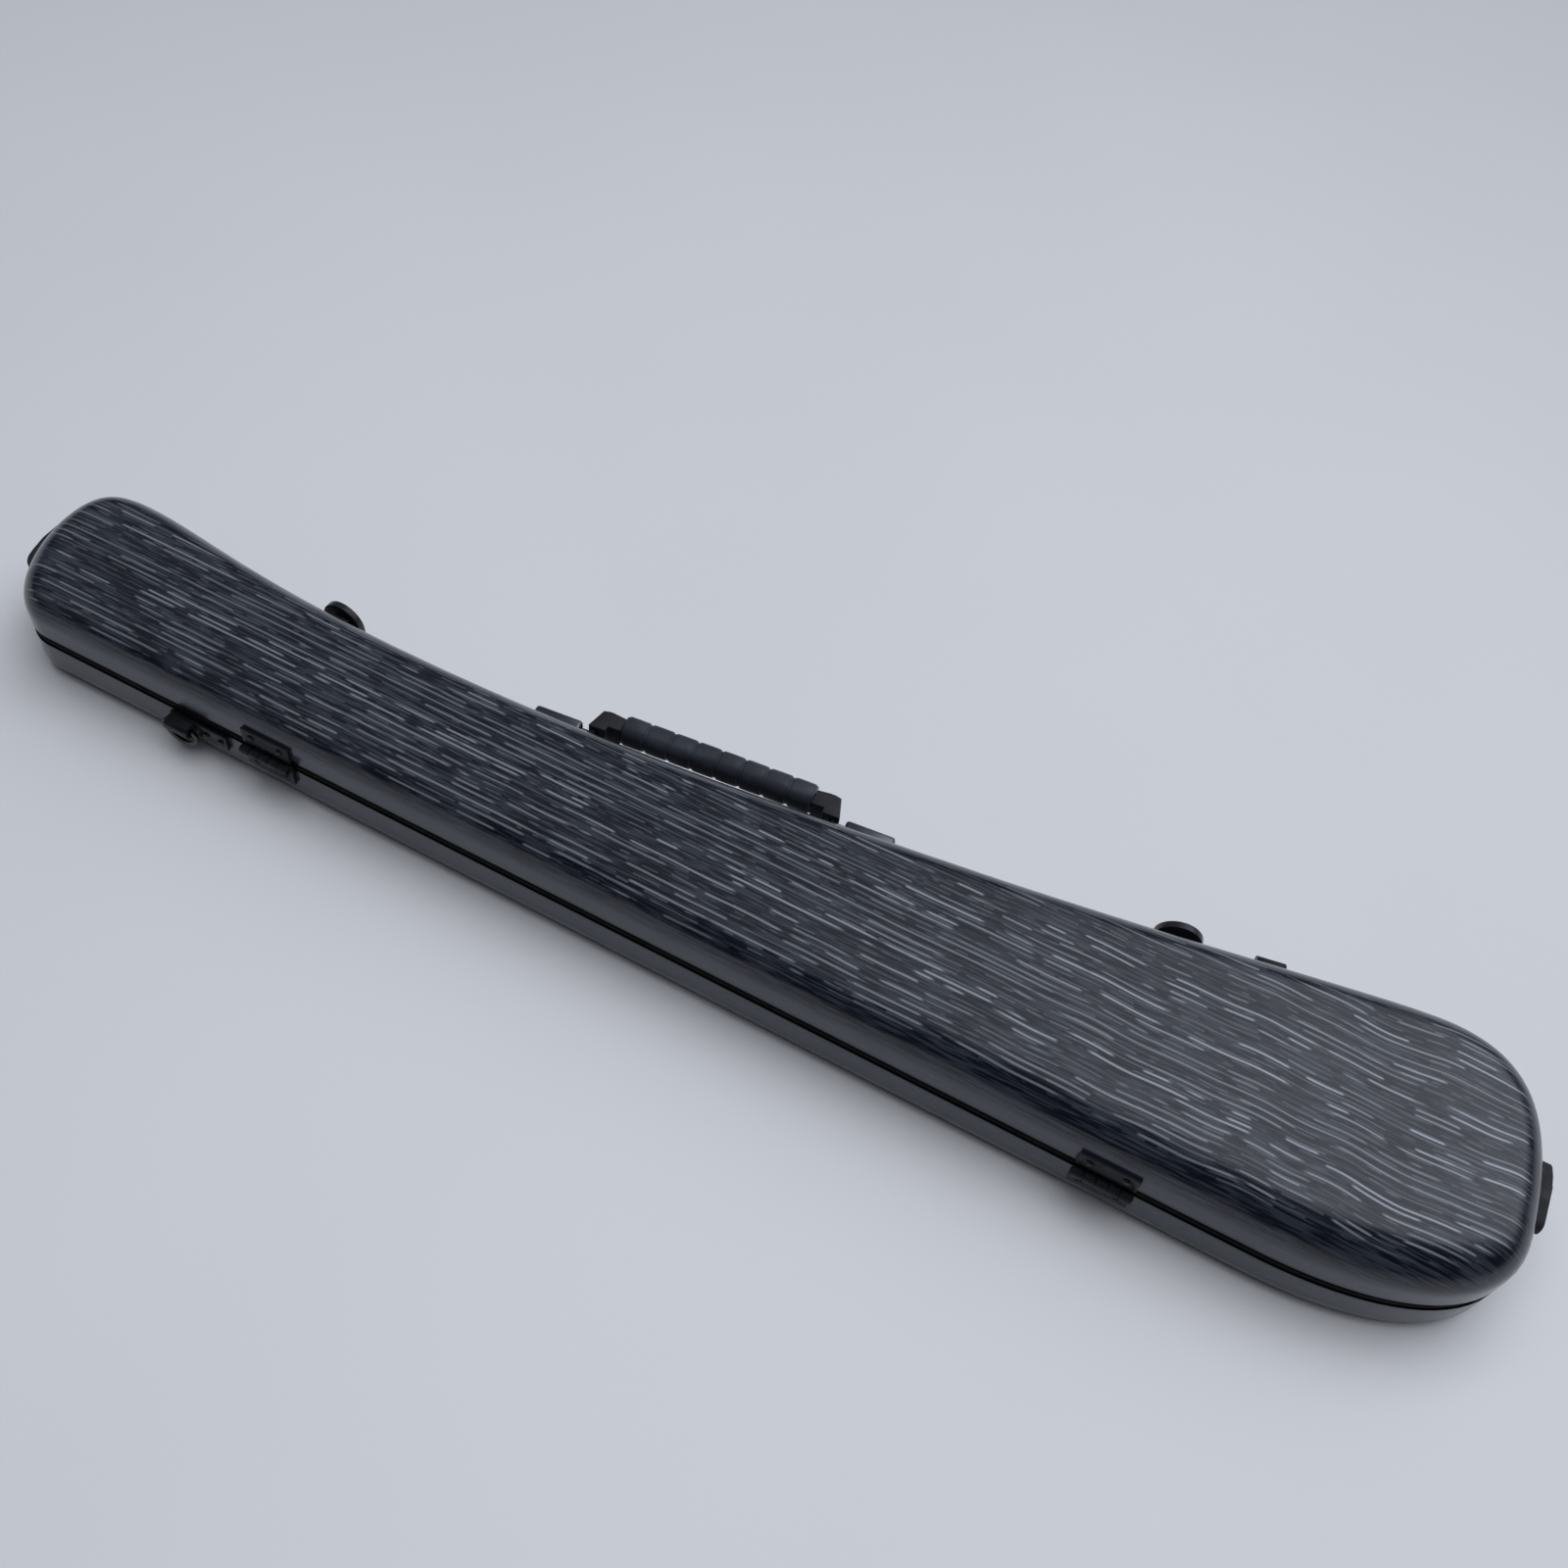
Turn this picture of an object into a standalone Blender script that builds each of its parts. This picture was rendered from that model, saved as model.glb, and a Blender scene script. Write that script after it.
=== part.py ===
"""Case for two bows: two hinged shells with edge strips, toggle latches, a lifting
strap handle, strap rings, end bumpers and a padded bed with turning clips.

Metres, +Z up. The case lies flat: X runs from the narrow tip end to the wide frog
end, the hinges are on the -Y wall and the latches and handle on the +Y wall. The
origin is on the underside, at mid-length, on the narrow end's centre line.
"""
import math

import bmesh
import bpy
from mathutils import Matrix, Vector
from mathutils.geometry import interpolate_bezier

# Body outline seen from above
BODY_LENGTH = 0.787
TIP_WIDTH = 0.0893
NECK_WIDTH = 0.0771
FLARE_WIDTH = 0.1033
FROG_WIDTH = 0.1419

# Shells
BODY_HEIGHT = 0.060
WALL = 0.0024
TOP_EDGE_RADIUS = 0.018
BASE_EDGE_RADIUS = 0.012
EDGE_SEGMENTS = 4

# Seam and edge strips
SEAM_HEIGHT = 0.0295
SEAM_GAP = 0.0005
BAND_HALF = 0.0033
FIT_GAP = 0.0003
STRIP_RECESS = 0.0008
STRIP_LIP = 0.0023
STRIP_LIP_REACH = 0.0032
SEAL_WIDTH = 0.0014
SEAL_HEIGHT = 0.00075
SEAL_INSET = 0.0025
SEAL_PROUD = 0.0002

# Rivets
RIVET_HEAD_RADIUS = 0.0019
RIVET_HEAD_HEIGHT = 0.0009
RIVET_SHANK_RADIUS = 0.0012
RIVET_HOLE_RADIUS = 0.0016
RIVET_SIDES = 8
RIVET_CROWN_SHARE = 0.65
BACKING_THICKNESS = 0.0015
BACKING_HALF_HEIGHT = 0.0017
BACKING_END = 0.0020

# Hinges
HINGE_FROM_ENDS = (0.1745, 0.1700)
HINGE_LENGTH = 0.028
HINGE_STANDOFF = 0.0036
LEAF_THICKNESS = 0.0016
LEAF_HEIGHT = 0.010
LEAF_SETBACK = 0.0035
KNUCKLE_RADIUS = 0.0027
KNUCKLE_COUNT = 5
KNUCKLE_GAP = 0.0004
WEB_LAP = 0.0027
WEB_SETBACK = 0.0003
HINGE_PIN_RADIUS = 0.00125
HINGE_BORE_RADIUS = 0.0016
HINGE_PIN_PROUD = 0.0005
HINGE_RIVET_SPACING = 0.017
HINGE_RIVET_DROP = 0.0095

# Toggle latches
LATCH_FROM_ENDS = (0.1530, 0.1795)
LATCH_BASE_LOW = 0.0136
LATCH_BASE_HEIGHT = 0.012
LATCH_BASE_HALF = 0.0092
LATCH_PLATE = 0.0016
LUG_THICKNESS = 0.002
LUG_RADIUS = 0.0024
LEVER_PIVOT_OUT = 0.0045
LEVER_PIVOT_HEIGHT = 0.0165
LEVER_PIN_RADIUS = 0.0010
LEVER_BORE_RADIUS = 0.0013
LEVER_PIN_PROUD = 0.0004
LEVER_HALF = 0.012
LEVER_TOP = 0.0435
LEVER_LOW = 0.0152
LEVER_INNER = 0.0081
LEVER_THICKNESS = 0.0034
LEVER_CORNER = 0.003
EAR_THICKNESS = 0.0017
EAR_RADIUS = 0.0026
EAR_LAP = 0.0008
CLAW_PIVOT_OUT = 0.0052
CLAW_PIVOT_HEIGHT = 0.023
CLAW_PIN_RADIUS = 0.0008
CLAW_BORE_RADIUS = 0.0011
CLAW_EYE_RADIUS = 0.0020
CLAW_EAR_RADIUS = 0.0023
CLAW_HALF = 0.0068
CLAW_INNER = 0.0044
CLAW_OUTER = 0.0062
CLAW_NOSE_INNER = 0.0023
CLAW_NOSE_LOW = 0.0378
CLAW_TOP = 0.0394
STRIKE_LOW = 0.0332
STRIKE_HEIGHT = 0.008
STRIKE_HALF = 0.0116
STRIKE_LIP_HALF = 0.0064
STRIKE_LIP_OUT = 0.0039
STRIKE_LIP_LOW = 0.0358
STRIKE_LIP_TOP = 0.0374
LATCH_RIVET_HALF_SPACING = 0.0040
LATCH_RIVET_HEIGHT = 0.0202
STRIKE_RIVET_HALF_SPACING = 0.0094
STRIKE_RIVET_HEIGHT = 0.0387

# Strap handle
HANDLE_PLACE = -0.023
HANDLE_DROP = 0.0035
HANDLE_HALF_SPAN = 0.0673
GRIP_OUT = 0.0140
GRIP_HALF_DEPTH = 0.00675
GRIP_HALF_HEIGHT = 0.0075
GRIP_HALF_LENGTH = 0.0510
GRIP_CORNER = 0.0058
GRIP_RIBS = 8
GRIP_GROOVE = 0.0008
GRIP_GROOVE_WIDTH = 0.0016
STRAP_THICKNESS = 0.0012
STRAP_HALF_HEIGHT = 0.0032
STRAP_TONGUE_OUT = 0.0030
STRAP_TONGUE_END = 0.0895
STRAP_BEND_OUTER = 0.0650
STRAP_BEND_INNER = 0.0590
END_FOOT_OUT = 0.0050
END_TOP_OUT = 0.0174
END_FOOT_INNER = 0.0580
END_SHOULDER = 0.0640
END_CROWN = 0.0610
END_HALF_HEIGHT = 0.0057
END_EDGE = 0.0010
CAP_START = 0.0705
CAP_LENGTH = 0.0258
CAP_OUT = 0.0072
CAP_HALF_HEIGHT = 0.0046
CAP_EDGE = 0.0018
HANDLE_LIFT = 0.0020
CAP_RIVET_INSET = 0.0035

# Strap ring anchors
ANCHOR_NEAR_FROM_TIP = 0.1207
ANCHOR_NEAR_HEIGHT = 0.0210
ANCHOR_FAR_FROM_FROG = 0.1370
ANCHOR_FAR_HEIGHT = 0.0380
ANCHOR_PLATE = 0.0018
ANCHOR_HALF_HEIGHT = 0.0050
ANCHOR_TAIL = 0.0270
BOSS_HALF = 0.0070
BOSS_RADIUS = 0.0038
RING_OUT = 0.0048
RING_BORE_RADIUS = 0.0018
RING_WIRE_RADIUS = 0.0014
RING_HALF_WIDTH = 0.0098
RING_STRAIGHT = 0.0022
RING_ARC_STEPS = 10
ANCHOR_RIVET_OUTER = 0.0235
ANCHOR_RIVET_INNER = 0.0145

# End bumpers
TIP_BUMPER_HALF_WIDTH = 0.0225
FROG_BUMPER_HALF_WIDTH = 0.0168
BUMPER_LOW = 0.0332
BUMPER_HEIGHT = 0.0090
BUMPER_CORNER = 0.0034
BUMPER_OUT = 0.0062
BUMPER_ROOT = 0.0140
BUMPER_EDGE = 0.0012
BUMPER_RIVET_HALF_SPACING = 0.0065
TIP_BUMPER_OFFSET = 0.0076
FROG_BUMPER_OFFSET = 0.0120

# Bow bed
BED_INSET = 0.0065
PAD_INSET = 0.0122
PAD_LOW = 0.0029
PAD_THICKNESS = 0.0044
BED_TOP = 0.0230
CHANNEL_WIDTH = 0.024
DIVIDER_WIDTH = 0.006
NEAR_RAIL_WIDTH = 0.01135
TIP_BLOCK_DEPTH = 0.0175
FROG_BLOCK_DEPTH = 0.0275
WELL_FROM_FROG = 0.0485
WELL_LENGTH = 0.120
WELL_WIDTH = 0.032
WELL_WALL = 0.0133
LID_PAD_INSET = 0.0132
LID_PAD_TOP = 0.0569
LID_PAD_THICKNESS = 0.0070
LID_PAD_EDGE = 0.0042

# Turning bow clips
CLIP_FROM_ENDS = (0.1435, 0.1635)
CLIP_HALF_LENGTH = 0.0230
CLIP_HALF_WIDTH = 0.0050
CLIP_THICKNESS = 0.0026
CLIP_BORE_RADIUS = 0.0016
CLIP_SCREW_RADIUS = 0.0013
CLIP_SCREW_HEAD_RADIUS = 0.0030
CLIP_SCREW_HEAD_HEIGHT = 0.0013
CLIP_SCREW_DEPTH = 0.0070

# Cutters
OVERRUN = 0.004
SIDES_SMALL = 12
SIDES_ROUND = 16
WELD = 0.000001
FLAT_ANGLE = math.radians(0.05)

# Worked out from the above
HINGE_WALL_Y = -TIP_WIDTH / 2
TIP_X = -BODY_LENGTH / 2
FROG_X = BODY_LENGTH / 2
HINGE_PLACES = (TIP_X + HINGE_FROM_ENDS[0], FROG_X - HINGE_FROM_ENDS[1])
LATCH_PLACES = (TIP_X + LATCH_FROM_ENDS[0], FROG_X - LATCH_FROM_ENDS[1])
CLIP_PLACES = (TIP_X + CLIP_FROM_ENDS[0], FROG_X - CLIP_FROM_ENDS[1])
ANCHOR_NEAR_PLACE = TIP_X + ANCHOR_NEAR_FROM_TIP
ANCHOR_FAR_PLACE = FROG_X - ANCHOR_FAR_FROM_FROG
TIP_BUMPER_Y = HINGE_WALL_Y + TIP_WIDTH / 2 + TIP_BUMPER_OFFSET
FROG_BUMPER_Y = HINGE_WALL_Y + FROG_WIDTH / 2 + FROG_BUMPER_OFFSET
HANDLE_HEIGHT = BODY_HEIGHT - TOP_EDGE_RADIUS - HANDLE_DROP
CHANNEL_TIP_END = TIP_X + TIP_BLOCK_DEPTH
CHANNEL_FROG_END = FROG_X - FROG_BLOCK_DEPTH
NEAR_CHANNEL_Y = HINGE_WALL_Y + NEAR_RAIL_WIDTH
DIVIDER_Y = NEAR_CHANNEL_Y + CHANNEL_WIDTH + DIVIDER_WIDTH / 2
FAR_CHANNEL_Y = DIVIDER_Y + DIVIDER_WIDTH / 2 + CHANNEL_WIDTH
WELL_LOW = (FROG_X - WELL_FROM_FROG - WELL_LENGTH, FAR_CHANNEL_Y + WELL_WALL)
WELL_HIGH = (FROG_X - WELL_FROM_FROG, FAR_CHANNEL_Y + WELL_WALL + WELL_WIDTH)
LOWER_EDGE = SEAM_HEIGHT - BAND_HALF
UPPER_EDGE = SEAM_HEIGHT + BAND_HALF
STRIP_INNER = WALL + FIT_GAP + STRIP_LIP

# Outline knots: place along the body as a share of its length, distance from the hinge
# wall, heading in degrees, reach of the handles as shares of the chords, steps ahead
KNOT_SHARES = (
    (0.0000, TIP_WIDTH * 0.625, 90, 0.320, 0.602, 8),
    (0.0398, TIP_WIDTH, 0, 0.388, 0.217, 6),
    (0.2549, NECK_WIDTH, 0, 0.594, 0.348, 6),
    (0.6322, FLARE_WIDTH, 8, 0.382, 0.509, 5),
    (0.9300, FROG_WIDTH, 0, 0.109, 0.363, 9),
    (1.0000, FROG_WIDTH * 0.392, -90, 0.607, 0.390, 12),
    (0.8722, 0.0, 180, 0.346, 0.031, 1),
    (0.0450, 0.0, 180, 0.031, 0.340, 8),
)

# Finish: colour, roughness, metallic
FINISHES = {
    "streaked_film": ((0.055, 0.060, 0.070), 0.22, 0.0),
    "strip_black": ((0.012, 0.012, 0.015), 0.55, 0.0),
    "seal_rubber": ((0.010, 0.010, 0.011), 0.80, 0.0),
    "black_steel": ((0.018, 0.018, 0.022), 0.38, 0.7),
    "black_plastic": ((0.015, 0.016, 0.020), 0.45, 0.0),
    "grip_rubber": ((0.020, 0.021, 0.026), 0.62, 0.0),
    "nickel": ((0.560, 0.570, 0.580), 0.22, 1.0),
    "ring_bronze": ((0.070, 0.072, 0.050), 0.35, 0.8),
    "bumper_rubber": ((0.018, 0.018, 0.021), 0.60, 0.0),
    "plush": ((0.040, 0.042, 0.055), 0.95, 0.0),
    "clip_plastic": ((0.025, 0.025, 0.028), 0.40, 0.0),
    "rivet_steel": ((0.030, 0.030, 0.034), 0.35, 0.8),
}


def clear_scene():
    """Remove what the scene holds and make the two collections."""
    for obj in list(bpy.data.objects):
        bpy.data.objects.remove(obj, do_unlink=True)
    found = []
    for name in ("bow_case", "cutters"):
        group = bpy.data.collections.new(name)
        bpy.context.scene.collection.children.link(group)
        found.append(group)
    return found


PARTS, CUTTERS = clear_scene()


def make_materials():
    """One Principled material for each finish."""
    made = {}
    for name, (color, roughness, metallic) in FINISHES.items():
        made[name] = bpy.data.materials.new(name)
        made[name].use_nodes = True
        shader = made[name].node_tree.nodes["Principled BSDF"]
        shader.inputs["Base Color"].default_value = (*color, 1.0)
        shader.inputs["Roughness"].default_value = roughness
        shader.inputs["Metallic"].default_value = metallic
    return made


MATERIALS = make_materials()


# Outline of the body

def sample_outline():
    """Points and outward normals round the body, clockwise seen from above."""
    spots = []
    for share, across, heading, before, ahead, steps in KNOT_SHARES:
        place = Vector((BODY_LENGTH * (share - 0.5), HINGE_WALL_Y + across, 0))
        turn = math.radians(heading)
        spots.append((place, Vector((math.cos(turn), math.sin(turn), 0)), before, ahead, steps))
    points, normals = [], []
    for index, (place, way, _, ahead, steps) in enumerate(spots):
        end, end_way, before, _, _ = spots[(index + 1) % len(spots)]
        chord = (end - place).length
        run = interpolate_bezier(place, place + way * chord * ahead,
                                 end - end_way * chord * before, end, steps + 1)
        for step in range(steps):
            points.append(run[step])
    for index, point in enumerate(points):
        back = (point - points[index - 1]).normalized()
        forth = (points[(index + 1) % len(points)] - point).normalized()
        along = (back + forth).normalized()
        normals.append(Vector((-along.y, along.x, 0)))
    return points, normals


OUTLINE, NORMALS = sample_outline()


def outline(inset):
    """The body's outline drawn in by inset, as (x, y) pairs."""
    return [(point - normal * inset).to_2d() for point, normal in zip(OUTLINE, NORMALS)]


def far_wall_y(x):
    """The latch wall's y at x, on the sampled outline."""
    for start, end in zip(OUTLINE, OUTLINE[1:]):
        if start.x <= x <= end.x and end.x > start.x:
            return start.y + (end.y - start.y) * (x - start.x) / (end.x - start.x)
    return OUTLINE[0].y


def near_frame(x):
    """Frame on the hinge wall: u runs to -X, v out of the wall, w up."""
    return Matrix.Translation((x, HINGE_WALL_Y, 0)) @ Matrix.Rotation(math.pi, 4, "Z")


def far_frame(x, half_span):
    """Frame on the latch wall, along the chord of the wall behind the fitting."""
    low, high = far_wall_y(x - half_span), far_wall_y(x + half_span)
    turn = math.atan2(high - low, half_span * 2)
    return Matrix.Translation((x, (low + high) / 2, 0)) @ Matrix.Rotation(turn, 4, "Z")


def end_frame(y, side):
    """Frame on an end: v out of the end, w up. side is -1 at the tip, 1 at the frog."""
    edges = [edge for edge in zip(OUTLINE, OUTLINE[1:] + OUTLINE[:1])
             if min(edge[0].y, edge[1].y) <= y <= max(edge[0].y, edge[1].y)
             and edge[0].x * side > 0 and edge[0].y != edge[1].y]
    start, end = max(edges, key=lambda edge: edge[0].x * side)
    x = start.x + (end.x - start.x) * (y - start.y) / (end.y - start.y)
    return Matrix.Translation((x, y, 0)) @ Matrix.Rotation(-side * math.pi / 2, 4, "Z")


# Solids

SIDE_ON = Matrix(((0, 0, 1, 0), (1, 0, 0, 0), (0, 1, 0, 0), (0, 0, 0, 1)))
FACE_ON = Matrix.Rotation(math.pi / 2, 4, "X")


def curve_solid(loops, depth, turn=Matrix(), middle=(0, 0, 0)):
    """A flat outline, holes after it, thickened to depth about its own plane."""
    curve = bpy.data.curves.new("outline", "CURVE")
    curve.dimensions = "2D"
    curve.fill_mode = "BOTH"
    curve.extrude = depth / 2
    for loop in loops:
        spline = curve.splines.new("POLY")
        spline.points.add(len(loop) - 1)
        for point, (x, y) in zip(spline.points, loop):
            point.co = (x, y, 0, 1)
        spline.use_cyclic_u = True
    return curve_mesh(curve, Matrix.Translation(middle) @ turn)


def curve_mesh(curve, place):
    """The curve's solid as a welded mesh, put at place."""
    holder = bpy.data.objects.new("outline", curve)
    bpy.context.scene.collection.objects.link(holder)
    bpy.context.view_layer.update()
    found = holder.evaluated_get(bpy.context.evaluated_depsgraph_get())
    mesh = bpy.data.meshes.new_from_object(found)
    bpy.data.objects.remove(holder, do_unlink=True)
    solid = bmesh.new()
    solid.from_mesh(mesh)
    bmesh.ops.remove_doubles(solid, verts=solid.verts, dist=WELD)
    bmesh.ops.recalc_face_normals(solid, faces=solid.faces)
    solid.to_mesh(mesh)
    solid.free()
    mesh.transform(place)
    mesh.materials.clear()
    return mesh


def box(low, high):
    """A box between two corners."""
    low, high = Vector(low), Vector(high)
    size = high - low
    scale = Matrix.Diagonal((size.x, size.y, size.z, 1))
    return mesh_of(lambda solid: bmesh.ops.create_cube(
        solid, size=1, matrix=Matrix.Translation((low + high) / 2) @ scale))


def rod(radius, length, turn=Matrix(), middle=(0, 0, 0), sides=SIDES_SMALL):
    """A round rod along Z before its turn, centred at middle."""
    return mesh_of(lambda solid: bmesh.ops.create_cone(
        solid, cap_ends=True, segments=sides, radius1=radius, radius2=radius, depth=length,
        matrix=Matrix.Translation(middle) @ turn))


ALONG_U = Matrix.Rotation(math.pi / 2, 4, "Y")
ALONG_V = Matrix.Rotation(-math.pi / 2, 4, "X")


def mesh_of(build):
    """A mesh filled by build(bmesh)."""
    solid = bmesh.new()
    build(solid)
    mesh = bpy.data.meshes.new("solid")
    solid.to_mesh(mesh)
    solid.free()
    return mesh


def turned(profile, sides):
    """A solid of revolution about Z: (radius, height) pairs from top to bottom."""
    mesh = bpy.data.meshes.new("profile")
    points = [(radius, 0, height) for radius, height in profile]
    mesh.from_pydata(points, [(n, n + 1) for n in range(len(points) - 1)], [])
    holder = bpy.data.objects.new("profile", mesh)
    bpy.context.scene.collection.objects.link(holder)
    screw = holder.modifiers.new("turn", "SCREW")
    screw.steps = screw.render_steps = sides
    screw.use_merge_vertices = True
    screw.merge_threshold = WELD
    bpy.context.view_layer.update()
    found = holder.evaluated_get(bpy.context.evaluated_depsgraph_get())
    made = bpy.data.meshes.new_from_object(found)
    bpy.data.objects.remove(holder, do_unlink=True)
    solid = bmesh.new()
    solid.from_mesh(made)
    bmesh.ops.remove_doubles(solid, verts=solid.verts, dist=WELD)
    bmesh.ops.recalc_face_normals(solid, faces=solid.faces)
    solid.to_mesh(made)
    solid.free()
    return made


def joined(meshes):
    """Separate bodies in one mesh."""
    def build(solid):
        for mesh in meshes:
            solid.from_mesh(mesh)
    return mesh_of(build)


def arc(center, radius, start, end, steps):
    """Points on an arc from start to end degrees, both ends in."""
    for step in range(steps + 1):
        turn = math.radians(start + (end - start) * step / steps)
        yield (center[0] + radius * math.cos(turn), center[1] + radius * math.sin(turn))


def ring(center, radius, sides):
    """Points of a full circle."""
    return list(arc(center, radius, 0, 360 * (sides - 1) / sides, sides - 1))


def add_part(name, mesh, finish, frame=Matrix(), pivot=(0, 0, 0)):
    """Put a solid among the parts, with its origin at pivot in its frame."""
    pivot = Vector(pivot)
    mesh.transform(Matrix.Translation(-pivot))
    mesh.name = name
    mesh.materials.append(MATERIALS[finish])
    part = bpy.data.objects.new(name, mesh)
    part.matrix_world = frame @ Matrix.Translation(pivot)
    PARTS.objects.link(part)
    return part


def combine(part, mesh, operation, frame=None):
    """Cut a part by a mesh, or join the mesh to it, both in the given frame."""
    cutter = bpy.data.objects.new(part.name + "_tool", mesh)
    cutter.matrix_world = part.matrix_world if frame is None else frame
    cutter.display_type = "WIRE"
    cutter.hide_render = True
    CUTTERS.objects.link(cutter)
    step = part.modifiers.new(operation.lower(), "BOOLEAN")
    step.operation = operation
    step.object = cutter


def soften(part, width, segments):
    """Round the sharp edges of a part."""
    step = part.modifiers.new("edges", "BEVEL")
    step.width = width
    step.segments = segments
    step.limit_method = "ANGLE"
    step.angle_limit = math.radians(50)
    return step


# Shells, edge strips and seal

def make_shell(name, edge, face, radius):
    """An open tray: its rim at height edge, its flat face at height face."""
    def build(solid):
        rim = [solid.verts.new((x, y, edge)) for x, y in outline(0)]
        flat = [solid.verts.new((x, y, face)) for x, y in outline(0)]
        for index, low in enumerate(rim):
            solid.faces.new((low, rim[index - 1], flat[index - 1], flat[index]))
        solid.faces.new(flat)
        bmesh.ops.recalc_face_normals(solid, faces=solid.faces)
    part = add_part(name, mesh_of(build), "streaked_film")
    soften(part, radius, EDGE_SEGMENTS)
    wall = part.modifiers.new("wall", "SOLIDIFY")
    wall.thickness = WALL
    wall.offset = -1
    wall.use_even_offset = True
    return part


def swept_ring(name, profile, finish):
    """A closed ring: its profile of (inset, height) pairs swept round the outline."""
    section = bpy.data.curves.new(name + "_section", "CURVE")
    spline = section.splines.new("POLY")
    spline.points.add(len(profile) - 1)
    for point, (inset, height) in zip(spline.points, profile):
        point.co = (inset, height, 0, 1)
    spline.use_cyclic_u = True
    holder = bpy.data.objects.new(name + "_section", section)
    bpy.context.scene.collection.objects.link(holder)
    path = bpy.data.curves.new(name + "_path", "CURVE")
    path.dimensions = "2D"
    path.fill_mode = "NONE"
    route = path.splines.new("POLY")
    route.points.add(len(OUTLINE) - 1)
    for point, place in zip(route.points, OUTLINE):
        point.co = (*place, 1)
    route.use_cyclic_u = True
    path.bevel_mode = "OBJECT"
    path.bevel_object = holder
    mesh = curve_mesh(path, Matrix())
    bpy.data.objects.remove(holder, do_unlink=True)
    return add_part(name, mesh, finish)


def make_body():
    """The two shells, the strips that edge them and the seal between."""
    lower = make_shell("lower_shell", LOWER_EDGE, 0, BASE_EDGE_RADIUS)
    upper = make_shell("upper_shell", UPPER_EDGE, BODY_HEIGHT, TOP_EDGE_RADIUS)
    lip_outer = WALL + FIT_GAP
    lower_top = SEAM_HEIGHT - SEAM_GAP / 2
    upper_low = SEAM_HEIGHT + SEAM_GAP / 2
    seal_top = lower_top + SEAL_PROUD
    seal_low = seal_top - SEAL_HEIGHT
    seal_inner = SEAL_INSET + SEAL_WIDTH
    swept_ring("lower_edge_strip", (
        (STRIP_RECESS, LOWER_EDGE + FIT_GAP), (STRIP_RECESS, lower_top),
        (SEAL_INSET - FIT_GAP, lower_top), (SEAL_INSET - FIT_GAP, seal_low - FIT_GAP),
        (seal_inner + FIT_GAP, seal_low - FIT_GAP), (seal_inner + FIT_GAP, lower_top),
        (STRIP_INNER, lower_top), (STRIP_INNER, LOWER_EDGE - STRIP_LIP_REACH),
        (lip_outer, LOWER_EDGE - STRIP_LIP_REACH), (lip_outer, LOWER_EDGE + FIT_GAP)),
        "strip_black")
    swept_ring("upper_edge_strip", (
        (STRIP_RECESS, UPPER_EDGE - FIT_GAP), (lip_outer, UPPER_EDGE - FIT_GAP),
        (lip_outer, UPPER_EDGE + STRIP_LIP_REACH), (STRIP_INNER, UPPER_EDGE + STRIP_LIP_REACH),
        (STRIP_INNER, upper_low), (STRIP_RECESS, upper_low)), "strip_black")
    swept_ring("seam_seal", (
        (SEAL_INSET, seal_low), (SEAL_INSET, seal_top), (seal_inner, seal_top),
        (seal_inner, seal_low)), "seal_rubber")
    return lower, upper


# Fittings on the walls

def seat(part):
    """Cut a fitting back to a hair off the wall behind it."""
    middle = (0, 0, BODY_HEIGHT / 2)
    wall = curve_solid([outline(-FIT_GAP)], BODY_HEIGHT + OVERRUN, middle=middle)
    combine(part, wall, "DIFFERENCE", Matrix())


def rivet(face_out):
    """A rivet along V: its head on a face that stands out by face_out, its end inside the wall."""
    end = -face_out - WALL - BACKING_THICKNESS - FIT_GAP
    profile = ((0, RIVET_HEAD_HEIGHT), (RIVET_HEAD_RADIUS * RIVET_CROWN_SHARE, RIVET_HEAD_HEIGHT),
               (RIVET_HEAD_RADIUS, 0), (RIVET_SHANK_RADIUS, 0), (RIVET_SHANK_RADIUS, end), (0, end))
    mesh = turned(profile, RIVET_SIDES)
    mesh.transform(Matrix.Translation((0, face_out + FIT_GAP, 0)) @ ALONG_V)
    return mesh


SHELL_HOLES = {"lower_shell": [], "upper_shell": []}


def fasten(fitting, shell, frame, places, face_out):
    """Rivet a fitting through the shell to a backing strip, at (u, w) places in its frame."""
    bores = []
    for u, w in places:
        length = face_out + WALL + OVERRUN * 2
        bores.append(rod(RIVET_HOLE_RADIUS, length, ALONG_V, (u, (face_out - WALL) / 2, w), RIVET_SIDES))
    cutter = joined(bores)
    combine(fitting, cutter.copy(), "DIFFERENCE", frame)
    cutter.transform(frame)
    SHELL_HOLES[shell].append(cutter)
    across = sorted(u for u, _ in places)
    height = places[0][1]
    strip = add_part(fitting.name + "_rivets", box(
        (across[0] - BACKING_END, -WALL - FIT_GAP * 2 - BACKING_THICKNESS, height - BACKING_HALF_HEIGHT),
        (across[-1] + BACKING_END, 0, height + BACKING_HALF_HEIGHT)), "rivet_steel", frame)
    inside = curve_solid([outline(WALL + FIT_GAP)], BODY_HEIGHT, middle=(0, 0, BODY_HEIGHT / 2))
    combine(strip, inside, "INTERSECT", Matrix())
    rivets = [rivet(face_out) for _ in places]
    for piece, (u, w) in zip(rivets, places):
        piece.transform(Matrix.Translation((u, 0, w)))
    combine(strip, joined(rivets), "UNION")


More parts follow.
